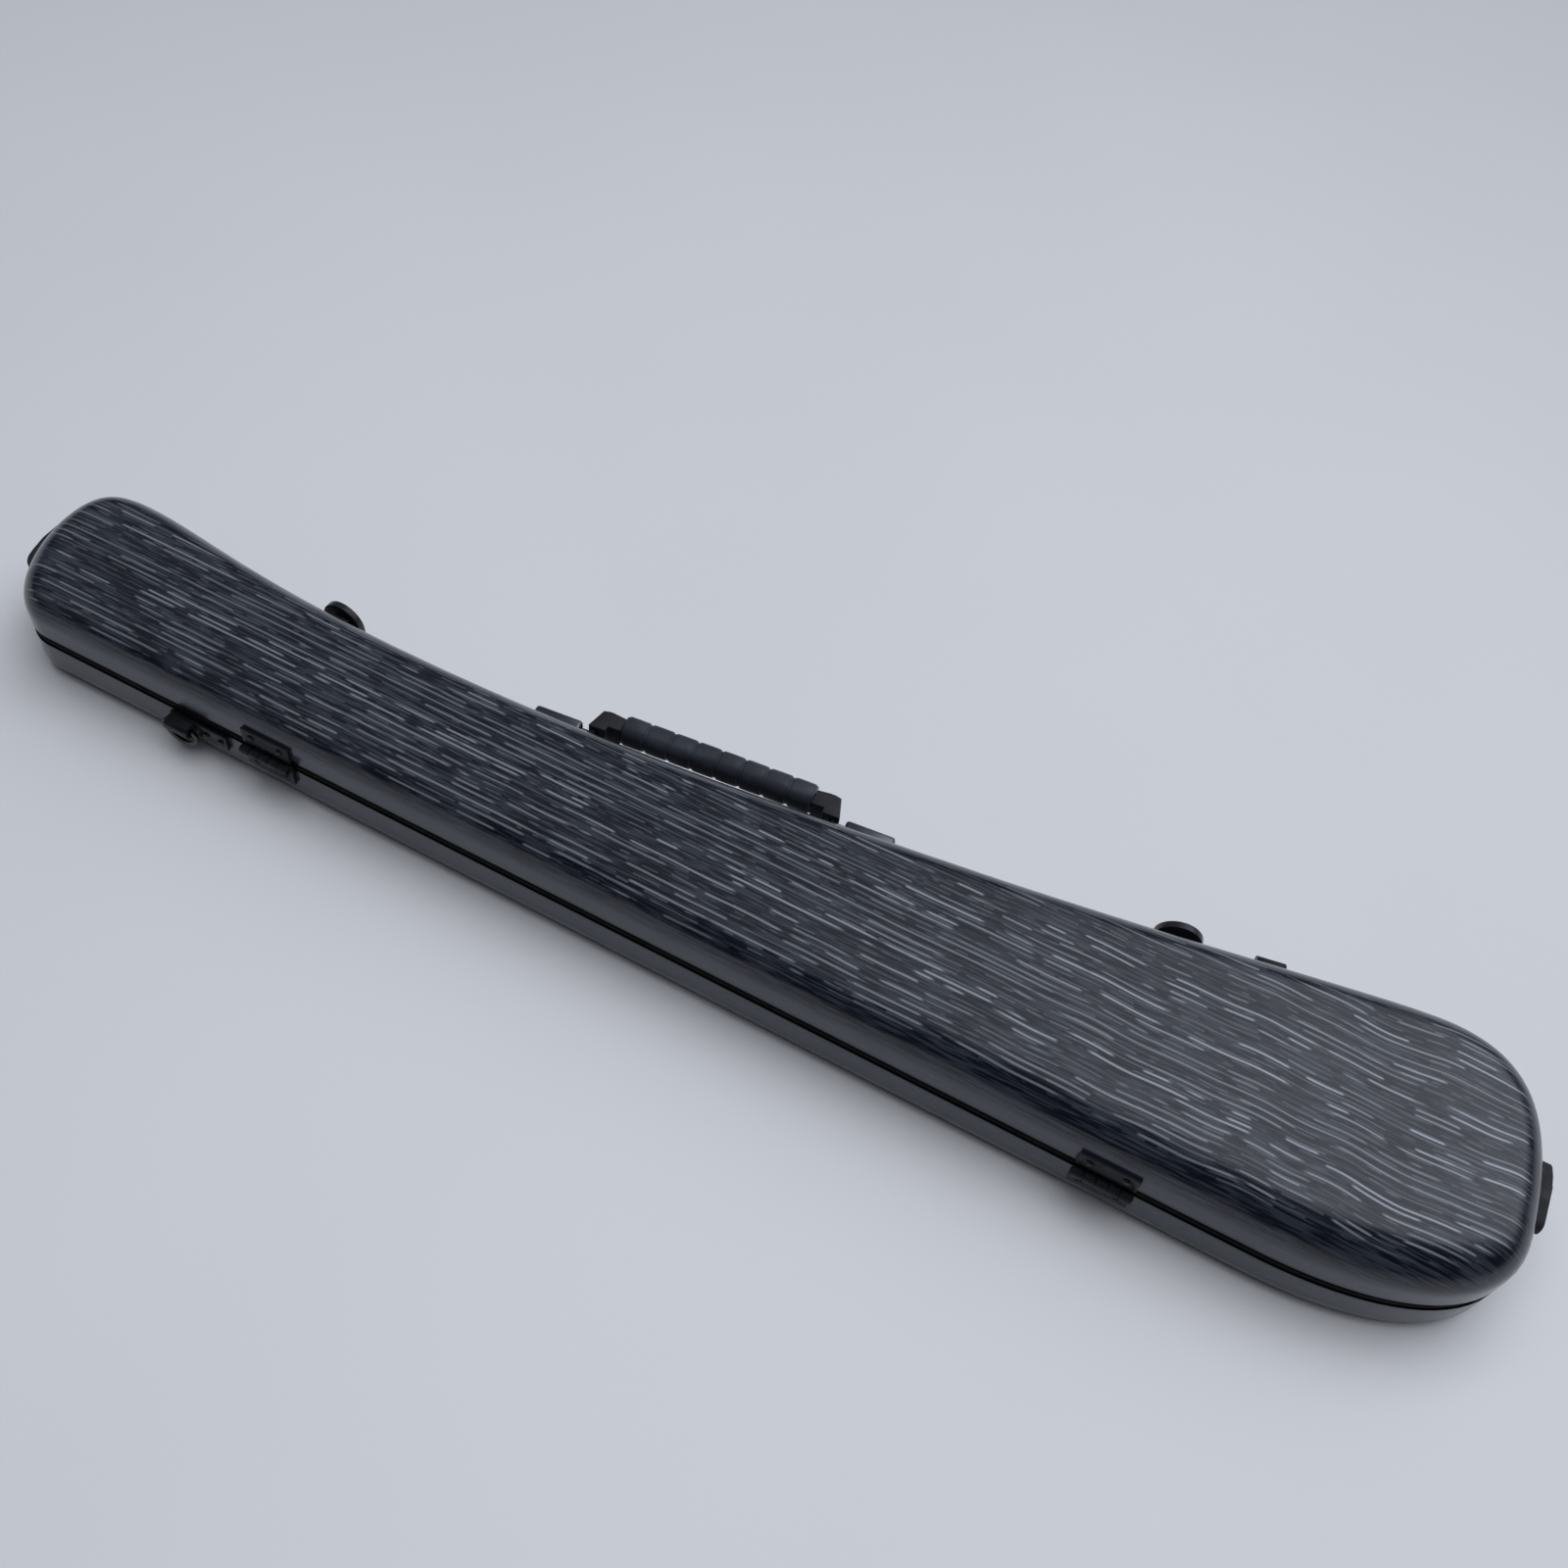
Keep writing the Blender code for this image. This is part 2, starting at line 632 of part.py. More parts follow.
def make_hinge(side, x):
    """Two leaves with knuckles round a pin, one leaf on each shell."""
    frame = near_frame(x)
    axis = (HINGE_STANDOFF, SEAM_HEIGHT)
    front = FIT_GAP + LEAF_THICKNESS
    web_front = front - WEB_SETBACK
    reach = HINGE_STANDOFF - web_front
    meet = math.degrees(math.atan2(-math.sqrt(KNUCKLE_RADIUS ** 2 - reach ** 2), -reach))
    pitch = (HINGE_LENGTH + KNUCKLE_GAP) / KNUCKLE_COUNT
    for name, flip, shell in (("body", 1, "lower_shell"), ("lid", -1, "upper_shell")):
        near, far = LEAF_SETBACK, LEAF_SETBACK + LEAF_HEIGHT
        heights = sorted((SEAM_HEIGHT - flip * near, SEAM_HEIGHT - flip * far))
        plate = box((-HINGE_LENGTH / 2, -OVERRUN, heights[0]), (HINGE_LENGTH / 2, front, heights[1]))
        leaf = add_part(f"hinge_{side}_{name}_leaf", plate, "black_steel", frame)
        web = SEAM_HEIGHT - (near + WEB_LAP)
        loop = [(0, web), (web_front, web)]
        loop += arc(axis, KNUCKLE_RADIUS, meet, 180, SIDES_SMALL)
        loop.append((0, SEAM_HEIGHT - KNUCKLE_RADIUS / 2))
        loop = [(v, SEAM_HEIGHT + flip * (w - SEAM_HEIGHT)) for v, w in loop]
        bore = ring(axis, HINGE_BORE_RADIUS, SIDES_SMALL)
        knuckles = []
        for index in range(0 if flip > 0 else 1, KNUCKLE_COUNT, 2):
            u = -HINGE_LENGTH / 2 + pitch * index + (pitch - KNUCKLE_GAP) / 2
            knuckles.append(curve_solid([loop, bore], pitch - KNUCKLE_GAP, SIDE_ON, (u, 0, 0)))
        combine(leaf, joined(knuckles), "UNION")
        seat(leaf)
        height = SEAM_HEIGHT - flip * HINGE_RIVET_DROP
        half = HINGE_RIVET_SPACING / 2
        fasten(leaf, shell, frame, ((-half, height), (half, height)), front)
    pin = rod(HINGE_PIN_RADIUS, HINGE_LENGTH + HINGE_PIN_PROUD * 2, ALONG_U, (0, *axis))
    add_part(f"hinge_{side}_pin", pin, "black_steel", frame, (0, *axis))


def make_latch(side, x):
    """A base with lugs, a round-topped lever, a claw on the lever and a strike on the lid."""
    frame = far_frame(x, LEVER_HALF)
    front = FIT_GAP + LATCH_PLATE
    pivot = (LEVER_PIVOT_OUT, LEVER_PIVOT_HEIGHT)
    claw_pivot = (CLAW_PIVOT_OUT, CLAW_PIVOT_HEIGHT)

    low, high = LATCH_BASE_LOW, LATCH_BASE_LOW + LATCH_BASE_HEIGHT
    base = add_part(f"latch_{side}_base", box(
        (-LATCH_BASE_HALF, -OVERRUN, low), (LATCH_BASE_HALF, front, high)), "black_steel", frame)
    foot = [(front / 2, LEVER_PIVOT_HEIGHT - LUG_RADIUS)]
    foot += arc(pivot, LUG_RADIUS, -90, 90, SIDES_SMALL // 2)
    foot.append((front / 2, LEVER_PIVOT_HEIGHT + LUG_RADIUS))
    for way in (-1, 1):
        u = way * (LATCH_BASE_HALF - LUG_THICKNESS / 2)
        lug = curve_solid([foot, ring(pivot, LEVER_BORE_RADIUS, SIDES_SMALL)], LUG_THICKNESS,
                          SIDE_ON, (u, 0, 0))
        combine(base, lug, "UNION")
    seat(base)
    half = LATCH_RIVET_HALF_SPACING
    fasten(base, "lower_shell", frame, ((-half, LATCH_RIVET_HEIGHT), (half, LATCH_RIVET_HEIGHT)), front)

    round_top = LEVER_TOP - LEVER_HALF
    face = list(arc((0, round_top), LEVER_HALF, 0, 180, SIDES_ROUND))
    face += arc((-LEVER_HALF + LEVER_CORNER, LEVER_LOW + LEVER_CORNER), LEVER_CORNER, 180, 270, 3)
    face += arc((LEVER_HALF - LEVER_CORNER, LEVER_LOW + LEVER_CORNER), LEVER_CORNER, 270, 360, 3)
    lever = add_part(f"latch_{side}_lever", curve_solid(
        [face], LEVER_THICKNESS, FACE_ON, (0, LEVER_INNER + LEVER_THICKNESS / 2, 0)),
        "black_plastic", frame, (0, *pivot))
    inside = LEVER_INNER + EAR_LAP
    ear = [(inside, LEVER_PIVOT_HEIGHT - EAR_RADIUS + EAR_LAP)]
    ear += arc(pivot, EAR_RADIUS, 270, 160, SIDES_SMALL // 3)
    ear += arc(claw_pivot, CLAW_EAR_RADIUS, 175, 90, SIDES_SMALL // 3)
    ear.append((inside, CLAW_PIVOT_HEIGHT + CLAW_EAR_RADIUS))
    holes = [ring(pivot, LEVER_BORE_RADIUS, SIDES_SMALL), ring(claw_pivot, CLAW_BORE_RADIUS, SIDES_SMALL)]
    ear_inner = LATCH_BASE_HALF + FIT_GAP
    for way in (-1, 1):
        u = way * (ear_inner + EAR_THICKNESS / 2)
        cheek = curve_solid([ear] + holes, EAR_THICKNESS, SIDE_ON, (u, 0, 0))
        cheek.transform(Matrix.Translation(-Vector((0, *pivot))))
        combine(lever, cheek, "UNION")
    span = (ear_inner + EAR_THICKNESS + LEVER_PIN_PROUD) * 2
    add_part(f"latch_{side}_pivot_pin", rod(LEVER_PIN_RADIUS, span, ALONG_U, (0, *pivot)),
             "rivet_steel", frame, (0, *pivot))
    add_part(f"latch_{side}_claw_pin", rod(CLAW_PIN_RADIUS, span, ALONG_U, (0, *claw_pivot)),
             "rivet_steel", frame, (0, *claw_pivot))

    inner_meet = math.degrees(math.acos((CLAW_INNER - CLAW_PIVOT_OUT) / CLAW_EYE_RADIUS))
    outer_meet = math.degrees(math.acos((CLAW_OUTER - CLAW_PIVOT_OUT) / CLAW_EYE_RADIUS))
    hook = list(arc(claw_pivot, CLAW_EYE_RADIUS, inner_meet, 360 + outer_meet, SIDES_SMALL))
    hook += [(CLAW_OUTER, CLAW_TOP), (CLAW_NOSE_INNER, CLAW_TOP),
             (CLAW_NOSE_INNER, CLAW_NOSE_LOW), (CLAW_INNER, CLAW_NOSE_LOW)]
    claw = curve_solid([hook, ring(claw_pivot, CLAW_BORE_RADIUS, SIDES_SMALL)], CLAW_HALF * 2, SIDE_ON)
    add_part(f"latch_{side}_claw", claw, "black_steel", frame, (0, *claw_pivot))

    strike = add_part(f"latch_{side}_strike", box(
        (-STRIKE_HALF, -OVERRUN, STRIKE_LOW), (STRIKE_HALF, front, STRIKE_LOW + STRIKE_HEIGHT)),
        "black_steel", frame)
    combine(strike, box((-STRIKE_LIP_HALF, front / 2, STRIKE_LIP_LOW),
                        (STRIKE_LIP_HALF, STRIKE_LIP_OUT, STRIKE_LIP_TOP)), "UNION")
    seat(strike)
    half = STRIKE_RIVET_HALF_SPACING
    places = ((-half, STRIKE_RIVET_HEIGHT), (half, STRIKE_RIVET_HEIGHT))
    fasten(strike, "upper_shell", frame, places, front)


# Handle

def strap_route(half):
    """Middle line of the strap over one half, from the grip to the tongue's end."""
    return [(0, GRIP_OUT), (half * STRAP_BEND_INNER, GRIP_OUT),
            (half * STRAP_BEND_OUTER, STRAP_TONGUE_OUT), (half * STRAP_TONGUE_END, STRAP_TONGUE_OUT)]


def make_strap(frame):
    """A flat steel strap, bent down at both ends to run inside the end caps."""
    route = strap_route(-1)[:0:-1] + strap_route(1)[1:]
    ways = [(Vector(b) - Vector(a)).normalized() for a, b in zip(route, route[1:])]
    sides = []
    for index, place in enumerate(route):
        before = ways[max(index - 1, 0)]
        after = ways[min(index, len(ways) - 1)]
        mitre = (before + after).normalized()
        normal = Vector((-mitre.y, mitre.x))
        sides.append((Vector(place), normal * STRAP_THICKNESS / 2 / mitre.dot(after)))
    loop = [place + offset for place, offset in sides]
    loop += [place - offset for place, offset in reversed(sides)]
    strap = curve_solid([loop], STRAP_HALF_HEIGHT * 2, middle=(0, 0, HANDLE_HEIGHT))
    return add_part("handle_strap", strap, "black_steel", frame, (0, GRIP_OUT, HANDLE_HEIGHT))


def strap_space(gap):
    """The room that the strap needs inside the grip and the end pieces."""
    space = STRAP_THICKNESS / 2 + gap
    height = STRAP_HALF_HEIGHT + gap
    return space, height


def make_grip(frame):
    """A ribbed rubber grip with a slot for the strap."""
    pitch = GRIP_HALF_LENGTH * 2 / GRIP_RIBS
    loop = []
    for index in range(GRIP_RIBS):
        start = -GRIP_HALF_LENGTH + pitch * index
        loop += [(start + GRIP_GROOVE_WIDTH / 2, GRIP_HALF_DEPTH),
                 (start + pitch - GRIP_GROOVE_WIDTH / 2, GRIP_HALF_DEPTH)]
        if index < GRIP_RIBS - 1:
            loop.append((start + pitch, GRIP_HALF_DEPTH - GRIP_GROOVE))
    loop += [(-u, -v) for u, v in loop]
    loop = [(u, v + GRIP_OUT) for u, v in loop]
    grip = add_part("handle_grip", curve_solid(
        [loop], GRIP_HALF_HEIGHT * 2, middle=(0, 0, HANDLE_HEIGHT)), "grip_rubber", frame,
        (0, GRIP_OUT, HANDLE_HEIGHT))
    across = rounded(GRIP_HALF_DEPTH, GRIP_HALF_HEIGHT, GRIP_CORNER)
    combine(grip, curve_solid([across], GRIP_HALF_LENGTH * 2 + OVERRUN, SIDE_ON), "INTERSECT")
    space, height = strap_space(FIT_GAP)
    slot = box((-GRIP_HALF_LENGTH - OVERRUN, -space, -height),
               (GRIP_HALF_LENGTH + OVERRUN, space, height))
    combine(grip, slot, "DIFFERENCE")


def rounded(half_width, half_height, corner):
    """A rectangle with rounded corners, about zero."""
    inner_w, inner_h = half_width - corner, half_height - corner
    points = []
    for start, side_w, side_h in ((0, 1, 1), (90, -1, 1), (180, -1, -1), (270, 1, -1)):
        points += arc((side_w * inner_w, side_h * inner_h), corner, start, start + 90, 4)
    return points


def make_handle_end(side, way, frame):
    """The angular moulding over one bend of the strap."""
    start = GRIP_HALF_LENGTH + FIT_GAP
    under = GRIP_OUT - GRIP_HALF_DEPTH + GRIP_GROOVE
    loop = [(start, under), (END_FOOT_INNER, under), (END_FOOT_INNER, END_FOOT_OUT),
            (HANDLE_HALF_SPAN, END_FOOT_OUT), (END_SHOULDER, END_TOP_OUT - GRIP_GROOVE),
            (END_CROWN, END_TOP_OUT), (END_FOOT_INNER, END_TOP_OUT),
            (start, END_TOP_OUT - GRIP_GROOVE)]
    loop = [(way * u, v) for u, v in loop]
    end = add_part(f"handle_end_{side}", curve_solid(
        [loop], END_HALF_HEIGHT * 2, middle=(0, 0, HANDLE_HEIGHT)), "black_plastic", frame,
        (0, GRIP_OUT, HANDLE_HEIGHT))
    soften(end, END_EDGE, 1)
    space, height = strap_space(FIT_GAP)
    slope = Vector((STRAP_BEND_OUTER - STRAP_BEND_INNER, STRAP_TONGUE_OUT - GRIP_OUT))
    wide = space * slope.length / abs(slope.y)
    tall = space * (slope.length - abs(slope.x)) / abs(slope.y)
    route = [(start - OVERRUN, GRIP_OUT + space), (STRAP_BEND_INNER + tall, GRIP_OUT + space),
             (STRAP_BEND_OUTER + tall, STRAP_TONGUE_OUT + space),
             (HANDLE_HALF_SPAN + OVERRUN, STRAP_TONGUE_OUT + space),
             (HANDLE_HALF_SPAN + OVERRUN, STRAP_TONGUE_OUT - space),
             (STRAP_BEND_OUTER - tall - wide, STRAP_TONGUE_OUT - space),
             (STRAP_BEND_INNER - tall, GRIP_OUT - space), (start - OVERRUN, GRIP_OUT - space)]
    slot = curve_solid([[(way * u, v - GRIP_OUT) for u, v in route]], height * 2)
    combine(end, slot, "DIFFERENCE")


def make_cap(side, way, frame):
    """A plated end cap, hollow and open towards the grip, where the strap's tongue slides."""
    low, high = HANDLE_HEIGHT - CAP_HALF_HEIGHT, HANDLE_HEIGHT + CAP_HALF_HEIGHT
    ends = sorted((way * CAP_START, way * (CAP_START + CAP_LENGTH)))
    cap = add_part(f"handle_cap_{side}", box(
        (ends[0], -OVERRUN, low), (ends[1], CAP_OUT, high)), "nickel", frame)
    soften(cap, CAP_EDGE, 2)
    space, height = strap_space(FIT_GAP)
    room_top = STRAP_TONGUE_OUT + space + HANDLE_LIFT
    room = sorted((way * (CAP_START - OVERRUN), way * (STRAP_TONGUE_END + FIT_GAP)))
    hollow = box((room[0], STRAP_TONGUE_OUT - space, HANDLE_HEIGHT - height),
                 (room[1], room_top, HANDLE_HEIGHT + height))
    combine(cap, hollow, "DIFFERENCE")
    seat(cap)
    return cap


def make_handle():
    """Caps on the upper shell, and the strap with its grip and end pieces, which lifts out."""
    reach = CAP_START + CAP_LENGTH
    frame = far_frame(HANDLE_PLACE, reach)
    make_strap(frame)
    make_grip(frame)
    for side, way in (("left", -1), ("right", 1)):
        make_handle_end(side, way, frame)
        cap = make_cap(side, way, frame)
        u = way * (reach - CAP_RIVET_INSET + FIT_GAP)
        fasten(cap, "upper_shell", frame, ((u, HANDLE_HEIGHT),), CAP_OUT)


# Strap rings, bumpers

def make_ring_anchor(side, frame, height, tail_way, shell):
    """A plate with a boss, and the D-ring that hangs from it."""
    front = FIT_GAP + ANCHOR_PLATE
    ends = sorted((-tail_way * BOSS_HALF, tail_way * ANCHOR_TAIL))
    anchor = add_part(f"ring_anchor_{side}", box(
        (ends[0], -OVERRUN, height - ANCHOR_HALF_HEIGHT),
        (ends[1], front, height + ANCHOR_HALF_HEIGHT)), "black_steel", frame)
    axis = (RING_OUT, height)
    loop = [(front / 2, height - BOSS_RADIUS)]
    loop += arc(axis, BOSS_RADIUS, -90, 90, SIDES_SMALL // 2)
    loop.append((front / 2, height + BOSS_RADIUS))
    boss = curve_solid([loop, ring(axis, RING_BORE_RADIUS, SIDES_SMALL)], BOSS_HALF * 2, SIDE_ON)
    combine(anchor, boss, "UNION")
    seat(anchor)
    places = ((tail_way * ANCHOR_RIVET_INNER, height), (tail_way * ANCHOR_RIVET_OUTER, height))
    fasten(anchor, shell, frame, places, front)

    bend = RING_WIRE_RADIUS
    route = [(0, 0), (RING_HALF_WIDTH - bend, 0), (RING_HALF_WIDTH, -bend)]
    route += arc((0, -RING_STRAIGHT), RING_HALF_WIDTH, 0, -180, RING_ARC_STEPS)
    route += [(-RING_HALF_WIDTH, -bend), (-RING_HALF_WIDTH + bend, 0)]
    wire = bpy.data.curves.new("ring_wire", "CURVE")
    wire.dimensions = "3D"
    wire.bevel_depth = RING_WIRE_RADIUS
    wire.bevel_resolution = 1
    spline = wire.splines.new("POLY")
    spline.points.add(len(route) - 1)
    for point, (u, w) in zip(spline.points, route):
        point.co = (u, RING_OUT, height + w, 1)
    spline.use_cyclic_u = True
    add_part(f"strap_ring_{side}", curve_mesh(wire, Matrix()), "ring_bronze", frame, (0, *axis))


def make_bumper(side, way, y, half_width):
    """A moulded pad that follows one end of the upper shell."""
    frame = end_frame(y, way)
    face = rounded(half_width, BUMPER_HEIGHT / 2, BUMPER_CORNER)
    middle = (0, (BUMPER_OUT - BUMPER_ROOT) / 2, BUMPER_LOW + BUMPER_HEIGHT / 2)
    bumper = add_part(f"end_bumper_{side}", curve_solid(
        [face], BUMPER_OUT + BUMPER_ROOT, FACE_ON, middle), "bumper_rubber", frame)
    reach = outline(-BUMPER_OUT - FIT_GAP)
    body = curve_solid([reach], BODY_HEIGHT, middle=(0, 0, BODY_HEIGHT / 2))
    combine(bumper, body, "INTERSECT", Matrix())
    soften(bumper, BUMPER_EDGE, 1)
    seat(bumper)
    half, height = BUMPER_RIVET_HALF_SPACING, BUMPER_LOW + BUMPER_HEIGHT / 2
    fasten(bumper, "upper_shell", frame, ((-half, height), (half, height)), BUMPER_OUT)


# Bed, pads and clips

def bed_blank(low, high, inset):
    """A block of the body's outline between two heights."""
    return curve_solid([outline(inset)], high - low, middle=(0, 0, (low + high) / 2))


def make_bed():
    """Plush-covered foam: a floor pad, rails, a divider and end blocks."""
    add_part("bed_floor_pad", bed_blank(PAD_LOW, PAD_LOW + PAD_THICKNESS, PAD_INSET), "plush")
    low = PAD_LOW + PAD_THICKNESS + FIT_GAP
    tip, frog = CHANNEL_TIP_END, CHANNEL_FROG_END
    far_side = FROG_WIDTH
    end = BODY_LENGTH / 2
    spaces = {
        "bed_tip_block": ((-end, -far_side), (tip, far_side)),
        "bed_frog_block": ((frog, -far_side), (end, far_side)),
        "bed_near_rail": ((tip + FIT_GAP, -far_side), (frog - FIT_GAP, NEAR_CHANNEL_Y)),
        "bed_far_rail": ((tip + FIT_GAP, FAR_CHANNEL_Y), (frog - FIT_GAP, far_side)),
    }
    for name, (start, stop) in spaces.items():
        part = add_part(name, bed_blank(low, BED_TOP, BED_INSET), "plush")
        combine(part, box((*start, low - OVERRUN), (*stop, BED_TOP + OVERRUN)), "INTERSECT")
        if name == "bed_far_rail":
            combine(part, box((*WELL_LOW, low - OVERRUN), (*WELL_HIGH, BED_TOP + OVERRUN)), "DIFFERENCE")
    divider = add_part("bed_divider", box(
        (tip + FIT_GAP, DIVIDER_Y - DIVIDER_WIDTH / 2, low),
        (frog - FIT_GAP, DIVIDER_Y + DIVIDER_WIDTH / 2, BED_TOP)), "plush")
    bores = [rod(CLIP_BORE_RADIUS, CLIP_SCREW_DEPTH * 2, middle=(x, DIVIDER_Y, BED_TOP))
             for x in CLIP_PLACES]
    combine(divider, joined(bores), "DIFFERENCE")
    pad = bed_blank(LID_PAD_TOP - LID_PAD_THICKNESS, LID_PAD_TOP, LID_PAD_INSET)
    prepare_top(pad, LID_PAD_TOP)
    soften(add_part("lid_pad", pad, "plush"), LID_PAD_EDGE, 2).limit_method = "WEIGHT"


def prepare_top(mesh, height):
    """Make the flat faces whole and mark the edges of the top one for the bevel."""
    solid = bmesh.new()
    solid.from_mesh(mesh)
    bmesh.ops.dissolve_limit(solid, angle_limit=FLAT_ANGLE, verts=solid.verts, edges=solid.edges)
    solid.to_mesh(mesh)
    solid.free()
    marks = mesh.attributes.new("bevel_weight_edge", "FLOAT", "EDGE")
    faces_at = {}
    for face in mesh.polygons:
        for key in face.edge_keys:
            faces_at.setdefault(key, []).append(abs(face.normal.z))
    for edge in mesh.edges:
        tops = all(abs(mesh.vertices[index].co.z - height) < WELD for index in edge.vertices)
        marks.data[edge.index].value = float(tops and min(faces_at[edge.key]) < 0.5)


def make_clip(side, x):
    """A bar that turns on a screw over both channels."""
    frame = Matrix.Translation((x, DIVIDER_Y, 0))
    bar_low = BED_TOP + FIT_GAP
    bar_top = bar_low + CLIP_THICKNESS
    straight = CLIP_HALF_LENGTH - CLIP_HALF_WIDTH
    loop = list(arc((0, straight), CLIP_HALF_WIDTH, 0, 180, SIDES_SMALL // 2))
    loop += arc((0, -straight), CLIP_HALF_WIDTH, 180, 360, SIDES_SMALL // 2)
    bar = curve_solid([loop, ring((0, 0), CLIP_BORE_RADIUS, SIDES_SMALL)], CLIP_THICKNESS,
                      middle=(0, 0, (bar_low + bar_top) / 2))
    add_part(f"clip_{side}_bar", bar, "clip_plastic", frame, (0, 0, bar_low))
    head = bar_top + FIT_GAP
    profile = ((0, head + CLIP_SCREW_HEAD_HEIGHT),
               (CLIP_SCREW_HEAD_RADIUS * RIVET_CROWN_SHARE, head + CLIP_SCREW_HEAD_HEIGHT),
               (CLIP_SCREW_HEAD_RADIUS, head), (CLIP_SCREW_RADIUS, head),
               (CLIP_SCREW_RADIUS, BED_TOP - CLIP_SCREW_DEPTH + FIT_GAP),
               (0, BED_TOP - CLIP_SCREW_DEPTH + FIT_GAP))
    add_part(f"clip_{side}_screw", turned(profile, SIDES_SMALL), "rivet_steel", frame)


def main():
    lower, upper = make_body()
    for side, x in zip(("left", "right"), HINGE_PLACES):
        make_hinge(side, x)
    for side, x in zip(("left", "right"), LATCH_PLACES):
        make_latch(side, x)
    make_handle()
    near = near_frame(ANCHOR_NEAR_PLACE)
    make_ring_anchor("near", near, ANCHOR_NEAR_HEIGHT, -1, "lower_shell")
    far = far_frame(ANCHOR_FAR_PLACE, ANCHOR_TAIL)
    make_ring_anchor("far", far, ANCHOR_FAR_HEIGHT, 1, "upper_shell")
    make_bumper("tip", -1, TIP_BUMPER_Y, TIP_BUMPER_HALF_WIDTH)
    make_bumper("frog", 1, FROG_BUMPER_Y, FROG_BUMPER_HALF_WIDTH)
    make_bed()
    for side, x in zip(("tip", "frog"), CLIP_PLACES):
        make_clip(side, x)
    for shell in (lower, upper):
        combine(shell, joined(SHELL_HOLES[shell.name]), "DIFFERENCE")


main()
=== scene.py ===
"""Looks of a two-shell bow case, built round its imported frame.

Each operator makes one piece, or one group of like pieces: the film-covered shells, their
edge strips, the metal and moulded fittings, the handle, the plush bed and the stage.
Lengths are metres. +X runs to the wide frog end, +Y to the latches and the handle, +Z up.
"""

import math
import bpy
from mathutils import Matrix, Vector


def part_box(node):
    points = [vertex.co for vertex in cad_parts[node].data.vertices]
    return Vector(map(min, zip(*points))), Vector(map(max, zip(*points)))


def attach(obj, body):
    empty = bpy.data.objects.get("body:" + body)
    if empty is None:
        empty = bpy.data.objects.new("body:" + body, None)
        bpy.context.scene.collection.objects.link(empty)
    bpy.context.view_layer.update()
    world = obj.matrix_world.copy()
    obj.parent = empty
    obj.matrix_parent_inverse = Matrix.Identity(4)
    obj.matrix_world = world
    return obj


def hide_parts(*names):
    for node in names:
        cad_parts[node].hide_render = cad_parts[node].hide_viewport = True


bl_info = {
    "name": "Bow Case",
    "version": (1, 0, 0),
    "blender": (4, 5, 0),
    "location": "View3D > Sidebar > Bow Case",
    "description": "Builds the shells, fittings, handle and bed of a case for two bows",
    "category": "Add Mesh",
}

import bmesh
import bpy
from bpy.props import FloatProperty, FloatVectorProperty, IntProperty, PointerProperty
from mathutils import Matrix, Vector
from mathutils.kdtree import KDTree

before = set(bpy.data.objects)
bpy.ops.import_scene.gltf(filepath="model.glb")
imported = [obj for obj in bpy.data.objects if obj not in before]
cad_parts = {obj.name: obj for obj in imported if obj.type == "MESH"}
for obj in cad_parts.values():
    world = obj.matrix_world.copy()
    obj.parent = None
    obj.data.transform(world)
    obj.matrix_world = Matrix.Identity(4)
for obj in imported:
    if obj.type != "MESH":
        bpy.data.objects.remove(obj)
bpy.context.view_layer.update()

UPPER_LOW, UPPER_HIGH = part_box("upper_shell")
LOWER_LOW, LOWER_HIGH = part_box("lower_shell")
UPPER_STRIP_LOW, UPPER_STRIP_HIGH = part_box("upper_edge_strip")
LOWER_STRIP_LOW, LOWER_STRIP_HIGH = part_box("lower_edge_strip")
SEAM_HEIGHT = (LOWER_STRIP_HIGH.z + UPPER_STRIP_LOW.z) / 2


# Sizes and colours

class BowCaseBody(bpy.types.PropertyGroup):
    """The body's outline, walls and edges."""
    length: FloatProperty(
        name="Length", description="Outside length of the body", unit="LENGTH",
        default=UPPER_HIGH.x - UPPER_LOW.x)
    tip_width: FloatProperty(
        name="Tip Width", description="Outside width at the tip end", unit="LENGTH",
        default=0.0893)
    neck_width: FloatProperty(
        name="Neck Width", description="Outside width at the neck", unit="LENGTH", default=0.0771)
    flare_width: FloatProperty(
        name="Flare Width", description="Outside width where the far wall flares", unit="LENGTH",
        default=0.1033)
    frog_width: FloatProperty(
        name="Frog Width", description="Outside width at the frog end", unit="LENGTH",
        default=0.1419)
    wall: FloatProperty(
        name="Wall", description="Thickness of the shells", unit="LENGTH", default=0.0024)
    top_radius: FloatProperty(
        name="Top Radius", description="Rounding of the lid's top edge", unit="LENGTH",
        default=0.018)
    base_radius: FloatProperty(
        name="Base Radius", description="Rounding of the base's bottom edge", unit="LENGTH",
        default=0.012)
    crown: FloatProperty(
        name="Crown", description="Rise of the lid's middle over its edges", unit="LENGTH",
        default=0.0009)
    strip_recess: FloatProperty(
        name="Strip Recess", description="Depth of the edge strips behind the shells",
        unit="LENGTH", default=0.0008)
    strip_round: FloatProperty(
        name="Strip Rounding", description="Rounding of the edge strips' corners", unit="LENGTH",
        default=0.0007)


